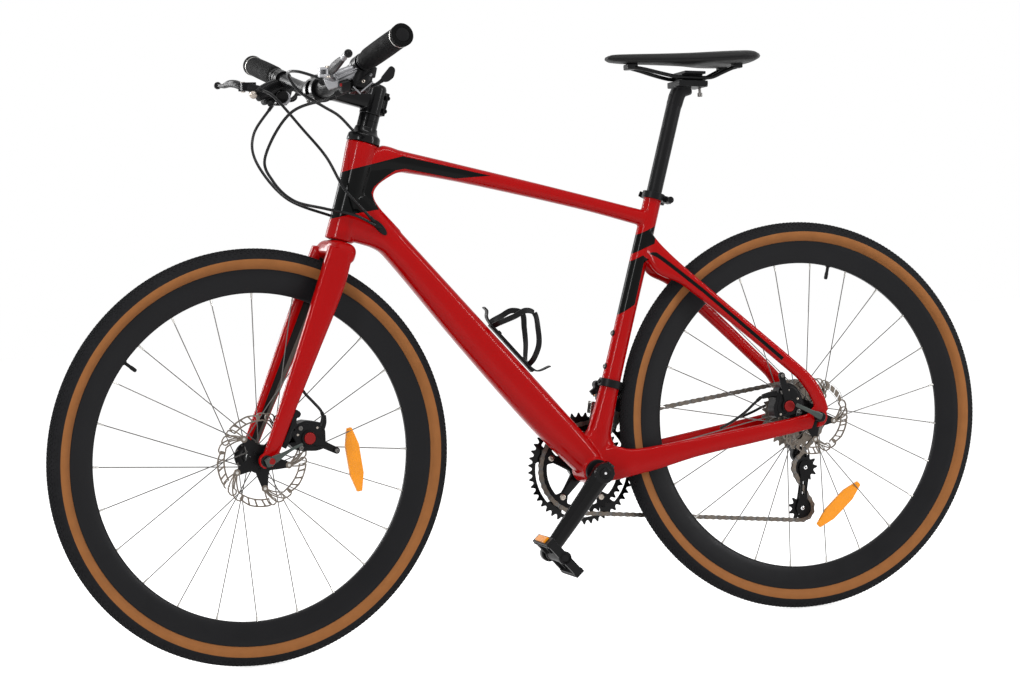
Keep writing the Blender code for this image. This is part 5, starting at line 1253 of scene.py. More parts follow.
def build_cables():
    build_cable("right_shift_housing", [
        (-0.3919, 0.1545, 0.9439), (-0.4326, 0.14, 0.8945), (-0.4399, 0.11, 0.8457), (-0.4078, 0.06, 0.7834),
        (-0.3424, 0.044, 0.7532), (-0.3, 0.033, 0.74), (-0.2715, 0.0272, 0.7255),
    ], 4)
    build_cable("left_shift_housing", [
        (-0.3905, -0.15, 0.943), (-0.4503, -0.1, 0.9212), (-0.4836, -0.06, 0.8519),
        (-0.4681, -0.05, 0.8108), (-0.4336, -0.05, 0.7781), (-0.3701, -0.048, 0.7611),
        (-0.317, -0.04, 0.748), (-0.2715, -0.0272, 0.7255),
    ], 5)
    build_cable("rear_brake_housing", [
        (-0.414, 0.149, 0.9735), (-0.403, 0.105, 0.956), (-0.38, 0.04, 0.9), (-0.36, -0.015, 0.85),
        (-0.335, -0.044, 0.795), (-0.298, -0.0385, 0.752), (-0.283, -0.032, 0.737),
    ], 4)
    build_cable("front_brake_housing", [
        (-0.414, -0.149, 0.9735), (-0.436, -0.1, 0.988), (-0.4366, -0.055, 0.986),
        (-0.408, -0.033, 0.958), (-0.365, -0.025, 0.934), (-0.335, -0.018, 0.918),
        (-0.3072, -0.01, 0.893),
    ], 7, "steering", (True, False))
    build_cable("front_brake_lower_housing", [
        (-0.435, -0.0535, 0.464), (-0.429, -0.0545, 0.455), (-0.4165, -0.0555, 0.441),
        (-0.405, -0.056, 0.427), (-0.4002, -0.056, 0.414),
    ], 5, "steering", (False, True))
    build_cable("rear_brake_lower_housing", [
        (0.323, -0.054, 0.342), (0.345, -0.0552, 0.352), (0.3692, -0.0562, 0.366), (0.39, -0.0568, 0.382),
        (0.404, -0.057, 0.3925),
    ], 0, "frame", (False, True))
    build_cable("rear_derailleur_housing", [
        (0.415, 0.0628, 0.35), (0.445, 0.072, 0.358), (0.475, 0.0805, 0.367), (0.508, 0.085, 0.37),
        (0.543, 0.085, 0.359), (0.56, 0.084, 0.338), (0.556, 0.083, 0.324), (0.544, 0.083, 0.3208),
    ], 0, "frame", (False, True))


# Drivetrain

def toothed(centre, teeth, phase=0.0):
    """The outline of a toothed wheel: narrow teeth with round valleys between them."""
    flank = ((0.045, 0.0033), (0.1, 0.0024), (0.17, 0.0008), (0.22, -0.0008), (0.3, -0.0025), (0.4, -0.0036))
    steps = [(-0.5, -0.0039), *((-share, height) for share, height in reversed(flank)), *flank]
    made = []
    for i in range(teeth):
        for share, height in steps:
            made.append(polar(centre, pitch_radius(teeth) + height, phase + 2 * pi * (i + share) / teeth))
    return from_side(made)


def eared(band, bolt_edge, full, gone):
    """The inner outline of a chainring: a circle with five ears, given in degrees, in to the bolts."""
    made = []
    for i in range(240):
        angle = 2 * pi * i / 240
        away = abs((angle - SPIDER_ANGLE + pi / 5) % (2 * pi / 5) - pi / 5)
        share = min(1.0, max(0.0, (away - radians(full)) / radians(gone - full)))
        reach = bolt_edge + (band - bolt_edge) * (3 - 2 * share) * share ** 2
        made.append(polar(BRACKET, reach, angle))
    return from_side(made)


def ring_of_holes(centre, reach, radius, count, phase=0.0):
    holes = []
    for i in range(count):
        spot = polar(centre, reach, phase + 2 * pi * i / count)
        holes.append(circle(spot, radius, 16))
    return holes


def build_cassette():
    shapes = []
    for i, teeth in enumerate(SPROCKETS):
        y = LARGE_SPROCKET_Y + SPROCKET_SPACING * i
        face, next_face = y + SPROCKET_HALF, y + SPROCKET_SPACING - SPROCKET_HALF
        holes = [circle(REAR_AXLE, 0.0175, 36)]
        if teeth > 20:
            edge = pitch_radius(teeth) - 0.006
            holes += ring_of_holes(REAR_AXLE, (edge + 0.0215) / 2, (edge - 0.0215) * 0.28, 9, 0.3 * i)
        shapes.append(plate([toothed(REAR_AXLE, teeth, 0.1 * i), *holes], y - SPROCKET_HALF, face))
        if i < len(SPROCKETS) - 1:
            spacer = [(face, 0.0175), (next_face, 0.0175), (next_face, 0.0205), (face, 0.0205)]
            shapes.append(hollow(spacer, REAR_AXLE, Y, 36, slot=1))
    lockring = [
        (face, 0.012), (face, 0.0185), (face + 0.0007, 0.0185), (face + 0.0013, 0.0176),
        (face + 0.0013, 0.012),
    ]
    shapes.append(hollow(lockring, REAR_AXLE, Y, 36, slot=1))
    piece_of("cassette_sprockets", shapes, [WORN_STEEL, DARK_STEEL], "cassette", ("cassette",))


def build_chainrings():
    low, high = OUTER_RING_Y - RING_HALF, OUTER_RING_Y + RING_HALF
    shapes = [plate([toothed(BRACKET, OUTER_RING_TEETH), eared(0.0872, 0.0545, 5.5, 11)], low, high)]
    for i in range(5):
        spot = polar(BRACKET, RING_BOLTS, SPIDER_ANGLE - 2 * pi * i / 5)
        head = [(high, 0.0052), (high + 0.0008, 0.0052), (high + 0.0012, 0.0046), (high + 0.0012, 0.0022)]
        shapes.append(turned(head, spot, Y, 20, slot=1))
    piece_of("outer_ring_plate", shapes, [GLOSS_METAL, SILVER], "crank", ("outer_chainring",))
    low, high = INNER_RING_Y - RING_HALF, INNER_RING_Y + RING_HALF
    shapes = [plate([toothed(BRACKET, INNER_RING_TEETH, 0.05), eared(0.0672, 0.055, 6, 12)], low, high)]
    for i in range(5):
        spot = polar(BRACKET, RING_BOLTS, SPIDER_ANGLE - 2 * pi * i / 5, low)
        shapes.append(screw(spot, -Y, 0.0054, slot=1, tall=0.0014))
    piece_of("inner_ring_plate", shapes, [BLACK_METAL, BOLT_STEEL], "crank", ("inner_chainring",))


def crank_arm(direction, side):
    """An arm with a flat outer face between two broad chamfers."""
    square = square_to(direction)
    section = (
        (-0.48, 1.0), (0.48, 1.0), (0.8, 0.62), (1.0, 0.1), (1.0, -0.75), (0.85, -1.0), (-0.85, -1.0),
        (-1.0, -0.75), (-1.0, 0.1), (-0.8, 0.62),
    )
    rings = []
    for share, middle, half_width, half_thick in refine([
        (0.0, 0.066, 0.018, 0.009), (0.1, 0.0668, 0.0172, 0.0088), (0.3, 0.07, 0.0158, 0.0075),
        (0.6, 0.0735, 0.015, 0.0066), (0.88, 0.0762, 0.0136, 0.0064), (1.0, 0.0768, 0.0134, 0.0064),
    ], 0.03, 1):
        centre = BRACKET + direction * CRANK_LENGTH * share + Y * side * middle
        rings.append([centre + square * half_width * a + Y * side * half_thick * b for a, b in section])
    return skin(rings)


def sided(profile, side):
    """A profile along Y, for the left or the right side."""
    return [(side * along, radius) for along, radius in profile]


def build_cranks():
    face = CRANK_FACE
    boss = [(0.0555, 0.0172), (0.057, 0.018), (0.0745, 0.0184), (face, 0.0176)]
    eye = [(0.0702, 0.0136), (0.0712, 0.0146), (0.0824, 0.0146), (0.0834, 0.0136)]
    washer = [(face - 0.001, 0.0104), (face + 0.001, 0.0103), (face + 0.0014, 0.0092),
              (face + 0.0006, 0.0086)]
    bolt = [(face, 0.0082), (face + 0.0014, 0.0081), (face + 0.002, 0.0072), (face + 0.0016, 0.003)]
    pedal_spindle = [(0.0826, 0.0072), (0.087, 0.0072), (0.0875, 0.006), (0.088, 0.0052), (0.158, 0.005),
                     (0.161, 0.0042)]
    cup = [(0.0223, 0.0123), (0.0412, 0.0123), (0.0412, 0.0205), (0.0404, 0.0213), (0.0386, 0.0215),
           (0.0343, 0.0215), (0.0343, 0.0168), (0.0223, 0.0168)]
    for name, side in SIDES:
        direction = ray(CRANK_ANGLE) * -side
        square = square_to(direction)
        pedal = BRACKET + direction * CRANK_LENGTH
        shapes = [
            crank_arm(direction, side), turned(sided(eye, side), pedal, Y),
            turned(sided(boss, side), BRACKET, Y, 12, radians(8)),
        ]
        cuts = []
        if side > 0:
            shapes.append(turned([(0.0423, 0.024), (0.056, 0.0225), (0.06, 0.019)], BRACKET, Y))
            spider = ((0.012, 0.047, 0.013, 0.004), (0.03, 0.0446, 0.0105, 0.0026),
                      (0.05, 0.0437, 0.008, 0.0014), (0.0668, 0.0436, 0.0068, 0.0013))
            for i in range(5):
                out = ray(SPIDER_ANGLE - 2 * pi * i / 5)
                shapes.append(sweep([BRACKET + out * reach + Y * y for reach, y, _, _ in spider],
                                    [(wide, thick) for _, _, wide, thick in spider], 24, 3.2))
        else:
            pinch = BRACKET - Y * PINCH_Y
            shapes.append(bar_between(pinch - direction * 0.006, pinch - direction * 0.0205, 0.015, 0.015))
            cuts.append(turned([(-0.07, 0.0121), (-0.03, 0.0121)], BRACKET, Y))
        body = welded(name + "_crank_arm", shapes, 0.0009, 4, cuts)
        place(body, [GLOSS_METAL], "crank", (name + "_crank",), angle=50)
        spots = [
            turned(sided(washer, side), BRACKET, Y, 40, slot=1),
            turned(sided(bolt, side), BRACKET, Y, 40, slot=1),
            screw(BRACKET + Y * side * (face + 0.0014), Y * side, 0.0024, tall=0.0012),
            turned(sided(pedal_spindle, side), pedal, Y, 24, slot=2),
        ]
        if side > 0:
            spots.append(turned([(-0.0695, 0.0117), (0.056, 0.0117)], BRACKET, Y, 40, slot=2))
        else:
            for along in (-0.01, -0.017):
                spots.append(screw(pinch + direction * along + square * 0.0072, square, 0.0028, slot=2))
        piece_of(name + "_crank_fittings", spots, [SILVER, BLACK_METAL, DARK_STEEL], "crank")
    for name, side in SIDES:
        notches = []
        for i in range(16):
            spot = polar(BRACKET, 0.0222, 2 * pi * i / 16, side * 0.038)
            notches.append(rod(spot - Y * 0.0025, spot + Y * 0.0045, 0.0013, 10))
        piece_of(name + "_bracket_cup", [hollow(sided(cup, side), BRACKET, Y, 64)], [BLACK_METAL], "frame",
                 (name + "_bottom_bracket_cup",), cuts=notches)


def build_pedals():
    for name, side in SIDES:
        body = name + "_pedal"
        run = Vector((0.656, 0, -0.755)) if side < 0 else X
        thick = square_to(run)
        middle = BRACKET - ray(CRANK_ANGLE) * side * CRANK_LENGTH + Y * side * PEDAL_MIDDLE

        def bar(first, last, width, depth):
            """A bar between two places given as (along the pedal, across it)."""
            return bar_between(*[middle + run * a + Y * b for a, b in (first, last)], width, depth)

        cage = []
        for end in (-0.0355, 0.0355):
            cage.append(bar((end - 0.0045, 0), (end + 0.0045, 0), 0.074, 0.017))
            for k in range(9):
                spot = middle + run * end + Y * (k - 4) * 0.0082
                for up in (-thick, thick):
                    cage.append(turned([(0.008, 0.0016), (0.0092, 0.0014), (0.0098, 0.0007)], spot, up, 8))
        for end in (-0.034, 0.034):
            cage.append(bar((-0.036, end), (0.036, end), 0.007, 0.015))
        for end in (-0.0125, 0.0125):
            cage.append(bar((-0.033, end), (0.033, end), 0.0028, 0.008))
        place(object_of(name + "_pedal_cage", mesh_of(cage)), [PLASTIC], body, (body,), bevel=0.0008)
        barrel = turned([
            (-0.0375, 0.0105), (-0.0365, 0.0112), (-0.03, 0.0112), (-0.029, 0.0098), (0.029, 0.0092),
            (0.03, 0.0104), (0.0365, 0.0104), (0.0375, 0.0096),
        ], middle, Y, 40)
        bore = turned([(-0.05, 0.0056), (0.05, 0.0056)], middle, Y, 32)
        piece_of(name + "_pedal_barrel", [barrel], [PLASTIC], body, bevel=0.0004, cuts=[bore])
        lights = []
        for spot in (middle - run * 0.0412, middle + run * 0.0412):
            lights.append(bar_between(spot - thick * 0.0058, spot + thick * 0.0058, 0.044, 0.0052))
        piece_of(name + "_pedal_reflectors", lights, [ORANGE], body, bevel=0.0008)


def tangent_heading(first, second):
    """The heading of the straight run from one wheel to the next."""
    across_x, across_z = second[0].x - first[0].x, second[0].z - first[0].z
    step = second[2] * second[1] - first[2] * first[1]
    return atan2(across_z, across_x) - asin(step / hypot(across_x, across_z))


def belt(wheels):
    """Points of a closed loop round wheels, each (centre, radius, turn, y)."""
    headings = [tangent_heading(a, b) for a, b in zip(wheels, wheels[1:] + wheels[:1])]
    route = []
    for i, (centre, radius, turn, y) in enumerate(wheels):
        arrive, leave = headings[i - 1], headings[i]
        swing = (leave - arrive) * turn
        while swing < 0:
            swing += 2 * pi
        steps = max(1, ceil(swing / radians(3)))
        for k in range(steps + 1):
            heading = arrive + turn * swing * k / steps
            reach = turn * radius
            route.append(Vector((centre.x + reach * sin(heading), y, centre.z - reach * cos(heading))))
    return route


def link_plate(start, end, low, high, slot=0):
    """A chain plate with round ends and a waist, between two pins."""
    along = (end - start).normalized()
    square = square_to(along)
    half = (end - start).length / 2
    middle = (start + end) / 2
    outline = [(-1.62, 0.0), (-1.45, 0.45), (-1.0, 0.66), (-0.5, 0.58), (0.0, 0.5), (0.5, 0.58), (1.0, 0.66),
               (1.45, 0.45), (1.62, 0.0)]
    outline += [(a, -b) for a, b in reversed(outline[1:-1])]
    rings = []
    for y in (low, high):
        rings.append([middle + along * half * a + square * half * b + Y * y for a, b in outline])
    return skin(rings, slot=slot)


def on_wheel(pins, centre, radius):
    """The indices of the chain pins that lie on a wheel's pitch circle."""
    return [i for i, pin in enumerate(pins) if hypot(pin.x - centre.x, pin.z - centre.z) < radius * 1.001]


def build_chain():
    """The chain, of which the run over the pulleys goes with the derailleur's cage and the rest stays."""
    sprocket, pulley = pitch_radius(SPROCKETS[0]), pitch_radius(PULLEY_TEETH)
    route = belt([
        (BRACKET, pitch_radius(INNER_RING_TEETH), -1, INNER_RING_Y),
        (REAR_AXLE, sprocket, -1, LARGE_SPROCKET_Y),
        (GUIDE_PULLEY, pulley, 1, LARGE_SPROCKET_Y),
        (TENSION_PULLEY, pulley, -1, LARGE_SPROCKET_Y),
    ])
    route.append(route[0])
    marks = [0.0]
    for a, b in zip(route, route[1:]):
        marks.append(marks[-1] + (b - a).length)
    count = 2 * round(marks[-1] / CHAIN_PITCH / 2)
    pins = []
    k = 0
    for i in range(count):
        goal = marks[-1] * i / count
        while marks[k + 1] < goal:
            k += 1
        share = (goal - marks[k]) / max(1e-9, marks[k + 1] - marks[k])
        pins.append(route[k].lerp(route[k + 1], share))
    links = []
    pin = [(-0.0033, 0.0014), (-0.0031, 0.0018), (0.0031, 0.0018), (0.0033, 0.0014)]
    for i, start in enumerate(pins):
        end = pins[(i + 1) % count]
        low, high = (0.0012, 0.0021) if i % 2 else (0.0022, 0.0031)
        links.append([
            link_plate(start, end, low, high, i % 2), link_plate(start, end, -high, -low, i % 2),
            turned([(-0.0013, 0.0037), (0.0013, 0.0037)], start, Y, 12, slot=1),
            turned(pin, start, Y, 10, slot=1),
        ])
    off_sprocket = max(on_wheel(pins, REAR_AXLE, sprocket))
    on_guide = min(on_wheel(pins, GUIDE_PULLEY, pulley))
    behind = max(range(on_guide, count), key=lambda i: pins[i].x)
    ahead = min(i for i in range(behind, count) if pins[i].x < 0.4)
    finishes = [WORN_STEEL, DARK_STEEL]
    piece_of("chain_links", sum(links[:off_sprocket], []), finishes, "frame", ("chain",))
    piece_of("chain_round_pulleys", sum(links[on_guide:behind], []), finishes, "derailleur_cage")
    drop = piece_of("chain_drop", sum(links[off_sprocket:on_guide], []), finishes, None)
    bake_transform(drop)
    leaving = piece_of("chain_leaving_pulley", sum(links[behind:ahead], []), finishes, None)
    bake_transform(leaving)
    lower = piece_of("chain_lower_run", sum(links[ahead:], []), finishes, None)
    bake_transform(lower)


def build_rear_derailleur():
    knuckle = Vector((0.517, 0, 0.319))
    low_knuckle = Vector((0.518, 0, 0.276))
    hanger = [
        disc(REAR_AXLE, 0.0125, 0.075, 0.0792, 40),
        bar_between(REAR_AXLE + Y * 0.0771, knuckle + Y * 0.0771, 0.0042, 0.017),
    ]
    body = [
        turned([(0.0745, 0.0095), (0.076, 0.0105), (0.086, 0.0105), (0.0885, 0.0095), (0.09, 0.007)],
               knuckle, Y),
        turned([(0.0345, 0.014), (0.036, 0.0152), (0.048, 0.0148), (0.051, 0.0125), (0.052, 0.009)],
               low_knuckle, Y),
    ]
    for shift in (-0.0075, 0.0075):
        body.append(sweep([
            knuckle + Y * 0.085 + X * shift * 0.6, knuckle.lerp(low_knuckle, 0.5) + Y * 0.068 + X * shift,
            low_knuckle + Y * 0.045 + X * shift * 0.6,
        ], [(0.008, 0.0042), (0.0066, 0.0032), (0.008, 0.0042)], 24, 3.0, side=X))
    stub = rod(knuckle + Vector((0.004, 0.083, 0)), knuckle + Vector((0.024, 0.083, 0.0018)), 0.004, 24)
    whole = welded("derailleur_body", [*hanger, *body, stub], 0.0009, 5, [
        turned([(0.06, 0.0053), (0.09, 0.0053)], REAR_AXLE, Y, 32),
    ])
    place(whole, [BLACK_METAL], "frame", ("rear_derailleur",), angle=50)
    fittings = [
        screw(knuckle + Y * 0.0898, Y, 0.0058, tall=0.0022),
        screw(low_knuckle + Y * 0.0518, Y, 0.0048, tall=0.002),
        screw(knuckle + Vector((0.008, 0.08, 0.006)), (0.5, 0, 1), 0.0022),
        screw(knuckle + Vector((0.002, 0.082, 0.009)), (0.3, 0, 1), 0.0022),
        turned([(0, 0.0046), (0.002, 0.005), (0.009, 0.005), (0.01, 0.004)],
               knuckle + Vector((0.0225, 0.083, 0.0016)), X, 18),
    ]
    piece_of("derailleur_fittings", fittings, [SILVER], "frame")

    outer_y, inner_y = LARGE_SPROCKET_Y + CAGE_HALF_GAP, LARGE_SPROCKET_Y - CAGE_HALF_GAP
    plate_middle = Y * (outer_y + CAGE_PLATE / 2)
    down = (TENSION_PULLEY - GUIDE_PULLEY).normalized()
    square = square_to(down)
    long = (TENSION_PULLEY - GUIDE_PULLEY).length

    def cage_outline(half):
        """An outline on the pulleys' line, from its upper half: (along, half width)."""
        ring = half + [(along, -wide) for along, wide in reversed(half) if wide]
        return from_side(GUIDE_PULLEY + down * along + square * wide for along, wide in ring)

    ends = [(-0.012, 0.004), (-0.0095, 0.009), (-0.003, 0.0118), (0.006, 0.0112), (0.018, 0.008)]
    far_ends = [(long - along, wide) for along, wide in reversed(ends)]
    edge = cage_outline([*ends, (long / 2, 0.0066), *far_ends])
    window = cage_outline([(0.023, 0.0), (0.026, 0.003), (long - 0.026, 0.003), (long - 0.023, 0.0)])
    shapes = [
        plate([edge, window], outer_y, outer_y + CAGE_PLATE),
        plate([edge, window], inner_y - CAGE_PLATE, inner_y),
        bar_between(GUIDE_PULLEY + plate_middle, low_knuckle + plate_middle, CAGE_PLATE, 0.019),
        disc(low_knuckle, 0.0112, outer_y, 0.0341, 40),
    ]
    for centre in (GUIDE_PULLEY, TENSION_PULLEY):
        shapes.append(disc(centre, 0.0024, inner_y - 0.0022, outer_y + 0.002, 20))
        shapes.append(screw(centre + Y * (outer_y + 0.0014), Y, 0.004, slot=1, tall=0.0016))
        shapes.append(screw(centre + Y * (inner_y - 0.0014), -Y, 0.0036, slot=1, tall=0.0012))
    piece_of("derailleur_cage_plates", shapes, [BLACK_METAL, SILVER], "derailleur_cage",
             ("rear_derailleur_cage",))
    for name, centre in (("guide_pulley", GUIDE_PULLEY), ("tension_pulley", TENSION_PULLEY)):
        y = LARGE_SPROCKET_Y
        holes = [circle(centre, 0.0028, 20)] + ring_of_holes(centre, 0.011, 0.0022, 6)
        wheel = plate([toothed(centre, PULLEY_TEETH), *holes], y - 0.001, y + 0.001)
        hub = hollow(banded(-0.003, 0.003, 0.0028, 0.0074, 0.0006, 0.0008), centre + Y * y, Y, 32, slot=1)
        piece_of(name + "_wheel", [wheel, hub], [PLASTIC, DARK_STEEL], name, (name,))


def arc_plate(inner, outer, start, end, low, high):
    """A flat arc round the bracket, between two angles in degrees."""
    angles = [radians(start + (end - start) * i / 16) for i in range(17)]
    outline = [polar(BRACKET, outer, a) for a in angles]
    outline += [polar(BRACKET, inner, a) for a in reversed(angles)]
    return plate([from_side(outline)], low, high)


def build_front_derailleur():
    centre = seat_point(0.432)
    band = hollow(banded(-0.007, 0.007, 0.018, 0.0212, 0.0008, 0.0006), centre, SEAT_AXIS, 56)
    body = welded("shift_mechanism", [
        block((0.133, 0.024, 0.42), (0.023, 0.015, 0.033)),
        bar_between((0.133, 0.025, 0.43), (0.112, 0.025, 0.416), 0.0078, 0.0098),
        rod((0.124, 0.0165, 0.431), (0.124, 0.032, 0.431), 0.0075),
    ], 0.0009, 5, [turned([(-0.04, 0.018), (0.04, 0.018)], centre, SEAT_AXIS)])
    place(body, [BLACK_METAL], "frame", ("front_derailleur",), angle=45)
    piece_of("shift_band", [band, screw(centre - SEAT_BACK * 0.0205, -SEAT_BACK, 0.004),
                            screw(Vector((0.133, 0.0315, 0.427)), Y, 0.0036)], [BLACK_METAL], "frame")
    shapes = [
        arc_plate(0.084, 0.12, 47, 80, 0.0326, 0.0339), arc_plate(0.1, 0.122, 47, 80, 0.05, 0.0513),
        arc_plate(0.118, 0.1215, 57, 79, 0.0332, 0.0508),
        disc(polar(BRACKET, 0.105, radians(50)), 0.0018, 0.0332, 0.0508, 16),
    ]
    piece_of("shift_cage", shapes, [STEEL], "front_derailleur_cage", ("front_derailleur_cage",), bevel=0.0003)


# Brakes

def rounded_outline(outline, radius, steps=4):
    """An outline with its corners rounded."""
    made = []
    count = len(outline)
    for i in range(count):
        before, here, after = (Vector(outline[(i + k) % count]) for k in (-1, 0, 1))
        reach = min(radius, (before - here).length * 0.45, (after - here).length * 0.45)
        first = here + (before - here).normalized() * reach
        last = here + (after - here).normalized() * reach
        for k in range(steps + 1):
            t = k / steps
            point = first * (1 - t) ** 2 + here * 2 * t * (1 - t) + last * t ** 2
            made.append((point.x, point.y))
    return made


def build_caliper(prefix, body, outline, knob, rotor_y, low, high, centre, radius, extras, openings, tip,
                  arm_low):
    """A caliper body over its rotor, with its knurled pad adjuster, and the arm that the cable pulls."""
    middle = sum((Vector(point) for point in outline), Vector((0, 0))) / len(outline)
    smaller = [tuple(middle + (Vector(point) - middle) * 0.8) for point in outline]
    shapes = [
        plate([rounded_outline(outline, 0.006)], low + 0.003, high),
        plate([rounded_outline(smaller, 0.006)], low, high - 0.002),
        turned([(low - 0.002, 0.0112), (low + 0.008, 0.0118)], knob, Y, 40),
        *extras,
    ]
    cuts = [disc(centre, radius, rotor_y - 0.0028, rotor_y + 0.0028, 96), *openings]
    caliper = welded(prefix + "_caliper_body", shapes, 0.0009, 3, cuts)
    place(caliper, [BLACK_METAL], body, (prefix + "_caliper",), angle=40)

    outside, crest = [], []
    for i in range(72):
        angle = 2 * pi * i / 72
        grip = 0.0004 * cos(18 * angle)
        outside.append(polar(knob, 0.0099 + grip, angle, low - 0.0018))
        crest.append(polar(knob, 0.0097 + grip, angle, low - 0.0052))
    face = [polar(knob, 0.0086, 2 * pi * i / 72, low - 0.006) for i in range(72)]
    trims = [
        skin([outside, crest, face]),
        hollow([(low - 0.0022, 0.0098), (low - 0.0028, 0.0106), (low - 0.0014, 0.011), (low, 0.0102)],
               knob, Y, 48, slot=1),
    ]
    for corners, inward, seat, size, slot, tall in (
        ((1, -2), 0.26, low, 0.004, 2, 0.0026), ((0, 3, 5), 0.34, low + 0.0004, 0.0022, 1, 0.0014),
    ):
        for corner in corners:
            x, z = outline[corner]
            spot = Vector((x, 0, z)).lerp(knob, inward)
            trims.append(screw(Vector((spot.x, seat, spot.z)), -Y, size, slot=slot, tall=tall))
    piece_of(prefix + "_pad_adjuster", trims, [RED_METAL, BOLT_STEEL, DARK_STEEL], body)

    line = (tip - knob).normalized()
    square = square_to(line)
    lever = []
    for i in range(25):
        angle = radians(30) + radians(300) * i / 24
        lever.append(knob + line * 0.0133 * cos(angle) + square * 0.0133 * sin(angle))
    lever += [tip - square * 0.0056 - line * 0.002, tip + line * 0.0058 - square * 0.003,
              tip + line * 0.0058 + square * 0.003, tip + square * 0.0056 - line * 0.002]
    pieces = [
        plate([from_side(lever), circle(knob, 0.011, 40)], arm_low, arm_low + 0.0034),
        disc(tip, 0.0056, arm_low - 0.0024, arm_low + 0.0044, 28),
        screw(Vector((tip.x, arm_low - 0.0022, tip.z)), -Y, 0.0036, slot=1, tall=0.002),
    ]
    arm = prefix + "_brake_arm"
    piece_of(arm + "_plate", pieces, [BLACK_METAL, DARK_STEEL], arm, (arm,), bevel=0.0004)


def build_brakes():
    strip = sweep([
        (-0.449, -0.053, 0.432), (-0.452, -0.053, 0.42), (-0.456, -0.053, 0.402),
        (-0.464, -0.053, 0.386), (-0.473, -0.053, 0.37),
    ], [(0.004, 0.0035), (0.005, 0.004), (0.006, 0.0045), (0.0062, 0.0045), (0.005, 0.0035)], 20, 3.6)
    lug = rod((-0.447, -0.0585, 0.424), (-0.447, -0.048, 0.424), 0.0062, 24)
    boot = sweep([(-0.406, -0.056, 0.396), (-0.4015, -0.056, 0.406), (-0.4, -0.056, 0.419)],
                 [(0.0062, 0.0062), (0.0056, 0.0056), (0.0042, 0.0042)], 20)
    gaps = [
        plate([[(-0.465, 0.3772), (-0.4572, 0.389), (-0.4535, 0.3778)]], -0.07, -0.044),
        rod((-0.4545, -0.07, 0.3985), (-0.4545, -0.044, 0.3985), 0.0017, 12),
    ]
    build_caliper("front", "steering", [
        (-0.46, 0.394), (-0.45, 0.407), (-0.434, 0.413), (-0.407, 0.408), (-0.399, 0.395),
        (-0.3995, 0.364), (-0.416, 0.36), (-0.45, 0.363), (-0.464, 0.374),
    ], Vector((-0.43, 0, 0.383)), FRONT_ROTOR_Y, -0.062, -0.03, FRONT_AXLE, 0.083, [strip, lug, boot], gaps,
        Vector((-0.384, 0, 0.359)), -0.066)
    boot = sweep([(0.436, -0.057, 0.396), (0.424, -0.057, 0.396), (0.406, -0.057, 0.393)],
                 [(0.0062, 0.0062), (0.0056, 0.0056), (0.0044, 0.0044)], 20)
    build_caliper("rear", "frame", [
        (0.4265, 0.353), (0.476, 0.36), (0.484, 0.372), (0.479, 0.392), (0.469, 0.409), (0.453, 0.416),
        (0.437, 0.408), (0.423, 0.372),
    ], Vector((0.4515, 0, 0.3735)), REAR_ROTOR_Y, -0.068, -0.039, REAR_AXLE, 0.073, [boot], [],
        Vector((0.4395, 0, 0.429)), -0.072)


# Axles, valves and trim

def lever_blade(pivot, reach, stations, sides, slot=0):
    """A flat lever through stations: (distance along its reach, y, half height, half width)."""
    route = [pivot + reach * along + Y * y for along, y, _, _ in stations]
    return sweep(route, [station[2:] for station in stations], sides, 3.0, slot=slot, dome=0.001)


def build_axles():
    closed_lever = lever_blade(REAR_AXLE - Y * 0.0905, Vector((-0.89, 0, 0.456)), [
        (0.002, 0, 0.0058, 0.0026), (0.012, 0, 0.006, 0.0024), (0.02, 0, 0.0044, 0.002),
        (0.04, 0, 0.0036, 0.0017), (0.055, 0.001, 0.0034, 0.0014),
    ], 24, 2)
    cap = [(0.0748, 0.0092), (0.076, 0.0096), (0.086, 0.0088), (0.088, 0.007)]
    nut = [(0.08, 0.0092), (0.081, 0.0096), (0.087, 0.0086), (0.088, 0.007)]
    piece_of("rear_axle_shaft", [
        closed_lever, rod(REAR_AXLE - Y * 0.087, REAR_AXLE + Y * 0.086, 0.0048, 32),
        turned(sided(cap, -1), REAR_AXLE, Y, 40, slot=1), turned(nut, REAR_AXLE, Y, 40, slot=1),
    ], [STEEL, BLACK_METAL, QUICK_RELEASE], "frame", ("rear_axle",))
    nut = [(0.0613, 0.0088), (0.062, 0.0094), (0.072, 0.0082), (0.0735, 0.0066)]
    seat = [(0.0613, 0.0094), (0.062, 0.01), (0.0656, 0.01), (0.0668, 0.0092), (0.0674, 0.0078)]
    piece_of("front_axle_shaft", [
        rod(FRONT_AXLE - Y * 0.068, FRONT_AXLE + Y * 0.0705, 0.0048, 32),
        turned(nut, FRONT_AXLE, Y, 40, slot=1), turned(sided(seat, -1), FRONT_AXLE, Y, 40, slot=1),
    ], [STEEL, BLACK_METAL], "steering", ("front_axle",))
    reach = Vector((0.915, 0, 0.4035))
    pivot = FRONT_AXLE - Y * 0.0765
    lever = lever_blade(pivot, reach, [
        (0, -0.0005, 0.006, 0.0028), (0.01, -0.001, 0.0066, 0.0026), (0.018, -0.0008, 0.0052, 0.0022),
        (0.032, 0, 0.003, 0.0018), (0.05, 0.0005, 0.0024, 0.0016), (0.0625, -0.0036, 0.0026, 0.0016),
    ], 28)
    cam = turned([(-0.007, 0.0056), (-0.0062, 0.0064), (0.0062, 0.0064), (0.007, 0.0056)],
                 pivot, square_to(reach), 40)
    cap = turned([(-0.0046, 0.0058), (-0.0056, 0.0058), (-0.0064, 0.005), (-0.0064, 0.002)],
                 pivot + reach * 0.003, Y, 14, slot=1)
    piece_of("front_quick_release", [lever, cam, cap], [QUICK_RELEASE, RED_METAL], "front_axle_lever",
             ("front_axle_lever",))


